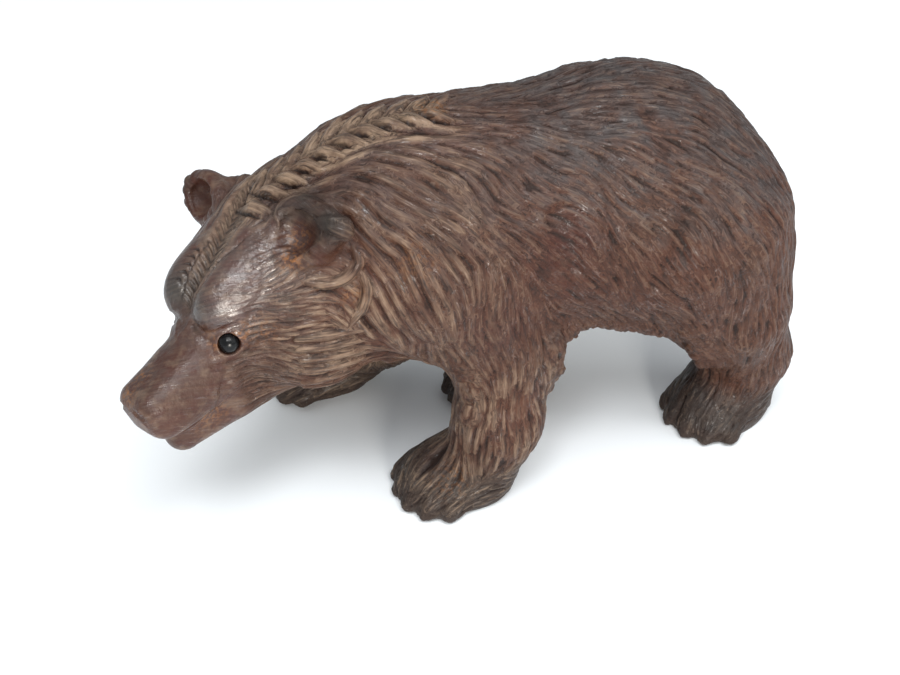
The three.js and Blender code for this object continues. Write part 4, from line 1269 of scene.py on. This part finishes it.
class BEAR_OT_carving(bpy.types.Operator):
    """Carves the bear from its block"""

    bl_idname = "bear.carving"
    bl_label = "Carving"

    def execute(self, context):
        sizes = context.scene.bear_carving
        finish = context.scene.bear_finish
        mesh = dense_block(sizes.net_spacing / MM)
        local = in_head(places_of(mesh) / MM - SHIFT)
        refined(mesh, (local[:, 0] > -4) & (local[:, 2] > -16))
        soft_tufts = tufts()
        points, out = settle(places_of(mesh) / MM - SHIFT, 3, soft_tufts)
        carving = Carving(points, out, sizes.stroke_gap / MM, sizes.stroke_height / MM)
        set_places(mesh, points + out * carving.height_at(points, out)[:, None])
        bear = new_object("carved_bear", mesh)
        thinned(bear, sizes.triangles)
        mesh = bear.data
        points = set_places(mesh, places_of(mesh) / MM - SHIFT)
        out = unit(slope_of(points, soft_tufts)[1])
        values = carving.values_at(points, out)
        normals = np.array([n.vector for n in mesh.vertex_normals])
        values.update(tones(points, normals, values["groove"]))
        for name, found in values.items():
            add_values(mesh, name, found)
        mesh.shade_smooth()
        colours = {key: tuple(getattr(finish, key)) for key in FINISH_KEYS}
        mesh.materials.clear()
        mesh.materials.append(stained_limewood(colours))
        rides(bear, "bear_carving")
        return {"FINISHED"}


class BEAR_OT_eyes(bpy.types.Operator):
    """Sets the two glass beads in their sockets"""

    bl_idname = "bear.eyes"
    bl_label = "Glass eyes"

    def execute(self, context):
        material = black_glass(tuple(context.scene.bear_finish.glass))
        for side, node in (("left", "glass_eye_left"), ("right", "glass_eye_right")):
            low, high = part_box(node)
            bead = bmesh.new()
            bmesh.ops.create_icosphere(bead, subdivisions=4, radius=(high.z - low.z) / 2)
            bmesh.ops.translate(bead, verts=bead.verts, vec=(low + high) / 2)
            mesh = bpy.data.meshes.new(f"glass_bead_{side}")
            bead.to_mesh(mesh)
            bead.free()
            mesh.shade_smooth()
            mesh.materials.append(material)
            rides(new_object(f"glass_bead_{side}", mesh), node)
        return {"FINISHED"}


# The camera's place: the way that it looks, its distance, and where it aims.
VIEW_AZIMUTH = -18.0
VIEW_ELEVATION = 40.0
VIEW_DISTANCE = 470.0
VIEW_FOCUS = np.array([0.0, 0.0, 60.0])
VIEW_FOCAL_PIXELS = 1350.0
VIEW_FOCUS_PIXEL = (470.0, 300.0)
FRAME_PIXELS = (900.0, 675.0)
SENSOR = 36.0

# The lights: name, place in metres, width, power in watts and colour.
LAMPS = (
    ("overhead", (-0.05, -0.45, 1.35), 1.0, 12, (1, 1, 1)),
    ("over_muzzle", (-0.46, -0.59, 1.21), 0.35, 3.4, (1, 1, 1)),
    ("over_flank", (0.29, -0.52, 1.2), 0.3, 3, (1, 1, 1)),
    ("window", (-0.1, -1.3, 0.24), 0.4, 14, (1, 0.95, 0.87)),
    ("fill", (1.1, -0.6, 0.8), 1.2, 3, (1, 1, 1)),
)
LAMP_AIM = Vector((0, 0, 0.06))
SKY_COLOUR = (0.97, 0.99, 1.0, 1)
SKY_STRENGTH = 0.64
FLOOR_HALF = 4


class BEAR_OT_stage(bpy.types.Operator):
    """Sets the floor, the lights and the camera"""

    bl_idname = "bear.stage"
    bl_label = "Stage"

    def execute(self, context):
        scene = context.scene
        floor_net = bmesh.new()
        bmesh.ops.create_grid(floor_net, x_segments=8, y_segments=8, size=FLOOR_HALF)
        mesh = bpy.data.meshes.new("pale_floor")
        floor_net.to_mesh(mesh)
        floor_net.free()
        mesh.materials.append(pale_floor(tuple(scene.bear_finish.floor)))
        floor = new_object("pale_floor", mesh)

        for name, place, width, power, colour in LAMPS:
            light = bpy.data.lights.new(name, "AREA")
            light.color = colour
            light.shape = "DISK"
            light.size = width
            light.energy = power
            lamp = new_object(name, light)
            lamp.location = place
            lamp.rotation_euler = (Vector(place) - LAMP_AIM).to_track_quat("Z", "Y").to_euler()

        world = bpy.data.worlds.new("studio")
        world.use_nodes = True
        sky = world.node_tree.nodes["Background"].inputs
        sky["Color"].default_value = SKY_COLOUR
        sky["Strength"].default_value = SKY_STRENGTH
        scene.world = world
        scene.view_settings.view_transform = "Standard"
        place_camera(scene)
        return {"FINISHED"}


def place_camera(scene):
    a, e = math.radians(VIEW_AZIMUTH), math.radians(VIEW_ELEVATION)
    back = Vector((math.sin(a) * math.cos(e), -math.cos(a) * math.cos(e), math.sin(e)))
    right = Vector((math.cos(a), math.sin(a), 0))
    up = back.cross(right)
    across = (VIEW_FOCUS_PIXEL[0] - FRAME_PIXELS[0] / 2) / VIEW_FOCAL_PIXELS
    rise = (FRAME_PIXELS[1] / 2 - VIEW_FOCUS_PIXEL[1]) / VIEW_FOCAL_PIXELS
    ray = across * right + rise * up - back
    data = bpy.data.cameras.new("camera")
    data.sensor_width = SENSOR
    data.lens = SENSOR * VIEW_FOCAL_PIXELS / FRAME_PIXELS[0]
    data.clip_start = 0.01
    camera = new_object("camera", data)
    focus = Vector((VIEW_FOCUS + SHIFT) * MM)
    camera.matrix_world = Matrix.Translation(focus - ray * VIEW_DISTANCE * MM) @ Matrix(
        ((right.x, up.x, back.x, 0), (right.y, up.y, back.y, 0), (right.z, up.z, back.z, 0), (0, 0, 0, 1))
    )
    scene.camera = camera


class BEAR_PT_panel(bpy.types.Panel):
    """Sizes, colours and the steps that make the bear"""

    bl_idname = "BEAR_PT_panel"
    bl_label = "Carved bear"
    bl_space_type = "VIEW_3D"
    bl_region_type = "UI"
    bl_category = "Bear"

    def draw(self, context):
        for group in (context.scene.bear_carving, context.scene.bear_finish):
            for name in group.__annotations__:
                self.layout.prop(group, name)
        for operator in OPERATORS:
            self.layout.operator(operator.bl_idname)


OPERATORS = (BEAR_OT_carving, BEAR_OT_eyes, BEAR_OT_stage)
CLASSES = (BearCarvingSettings, BearFinishSettings, *OPERATORS, BEAR_PT_panel)


def register():
    for made in CLASSES:
        bpy.utils.register_class(made)
    bpy.types.Scene.bear_carving = bpy.props.PointerProperty(type=BearCarvingSettings)
    bpy.types.Scene.bear_finish = bpy.props.PointerProperty(type=BearFinishSettings)


def unregister():
    del bpy.types.Scene.bear_carving
    del bpy.types.Scene.bear_finish
    for made in reversed(CLASSES):
        bpy.utils.unregister_class(made)


def main():
    register()
    bpy.ops.bear.carving()
    bpy.ops.bear.eyes()
    bpy.ops.bear.stage()


if __name__ == "__main__":
    main()
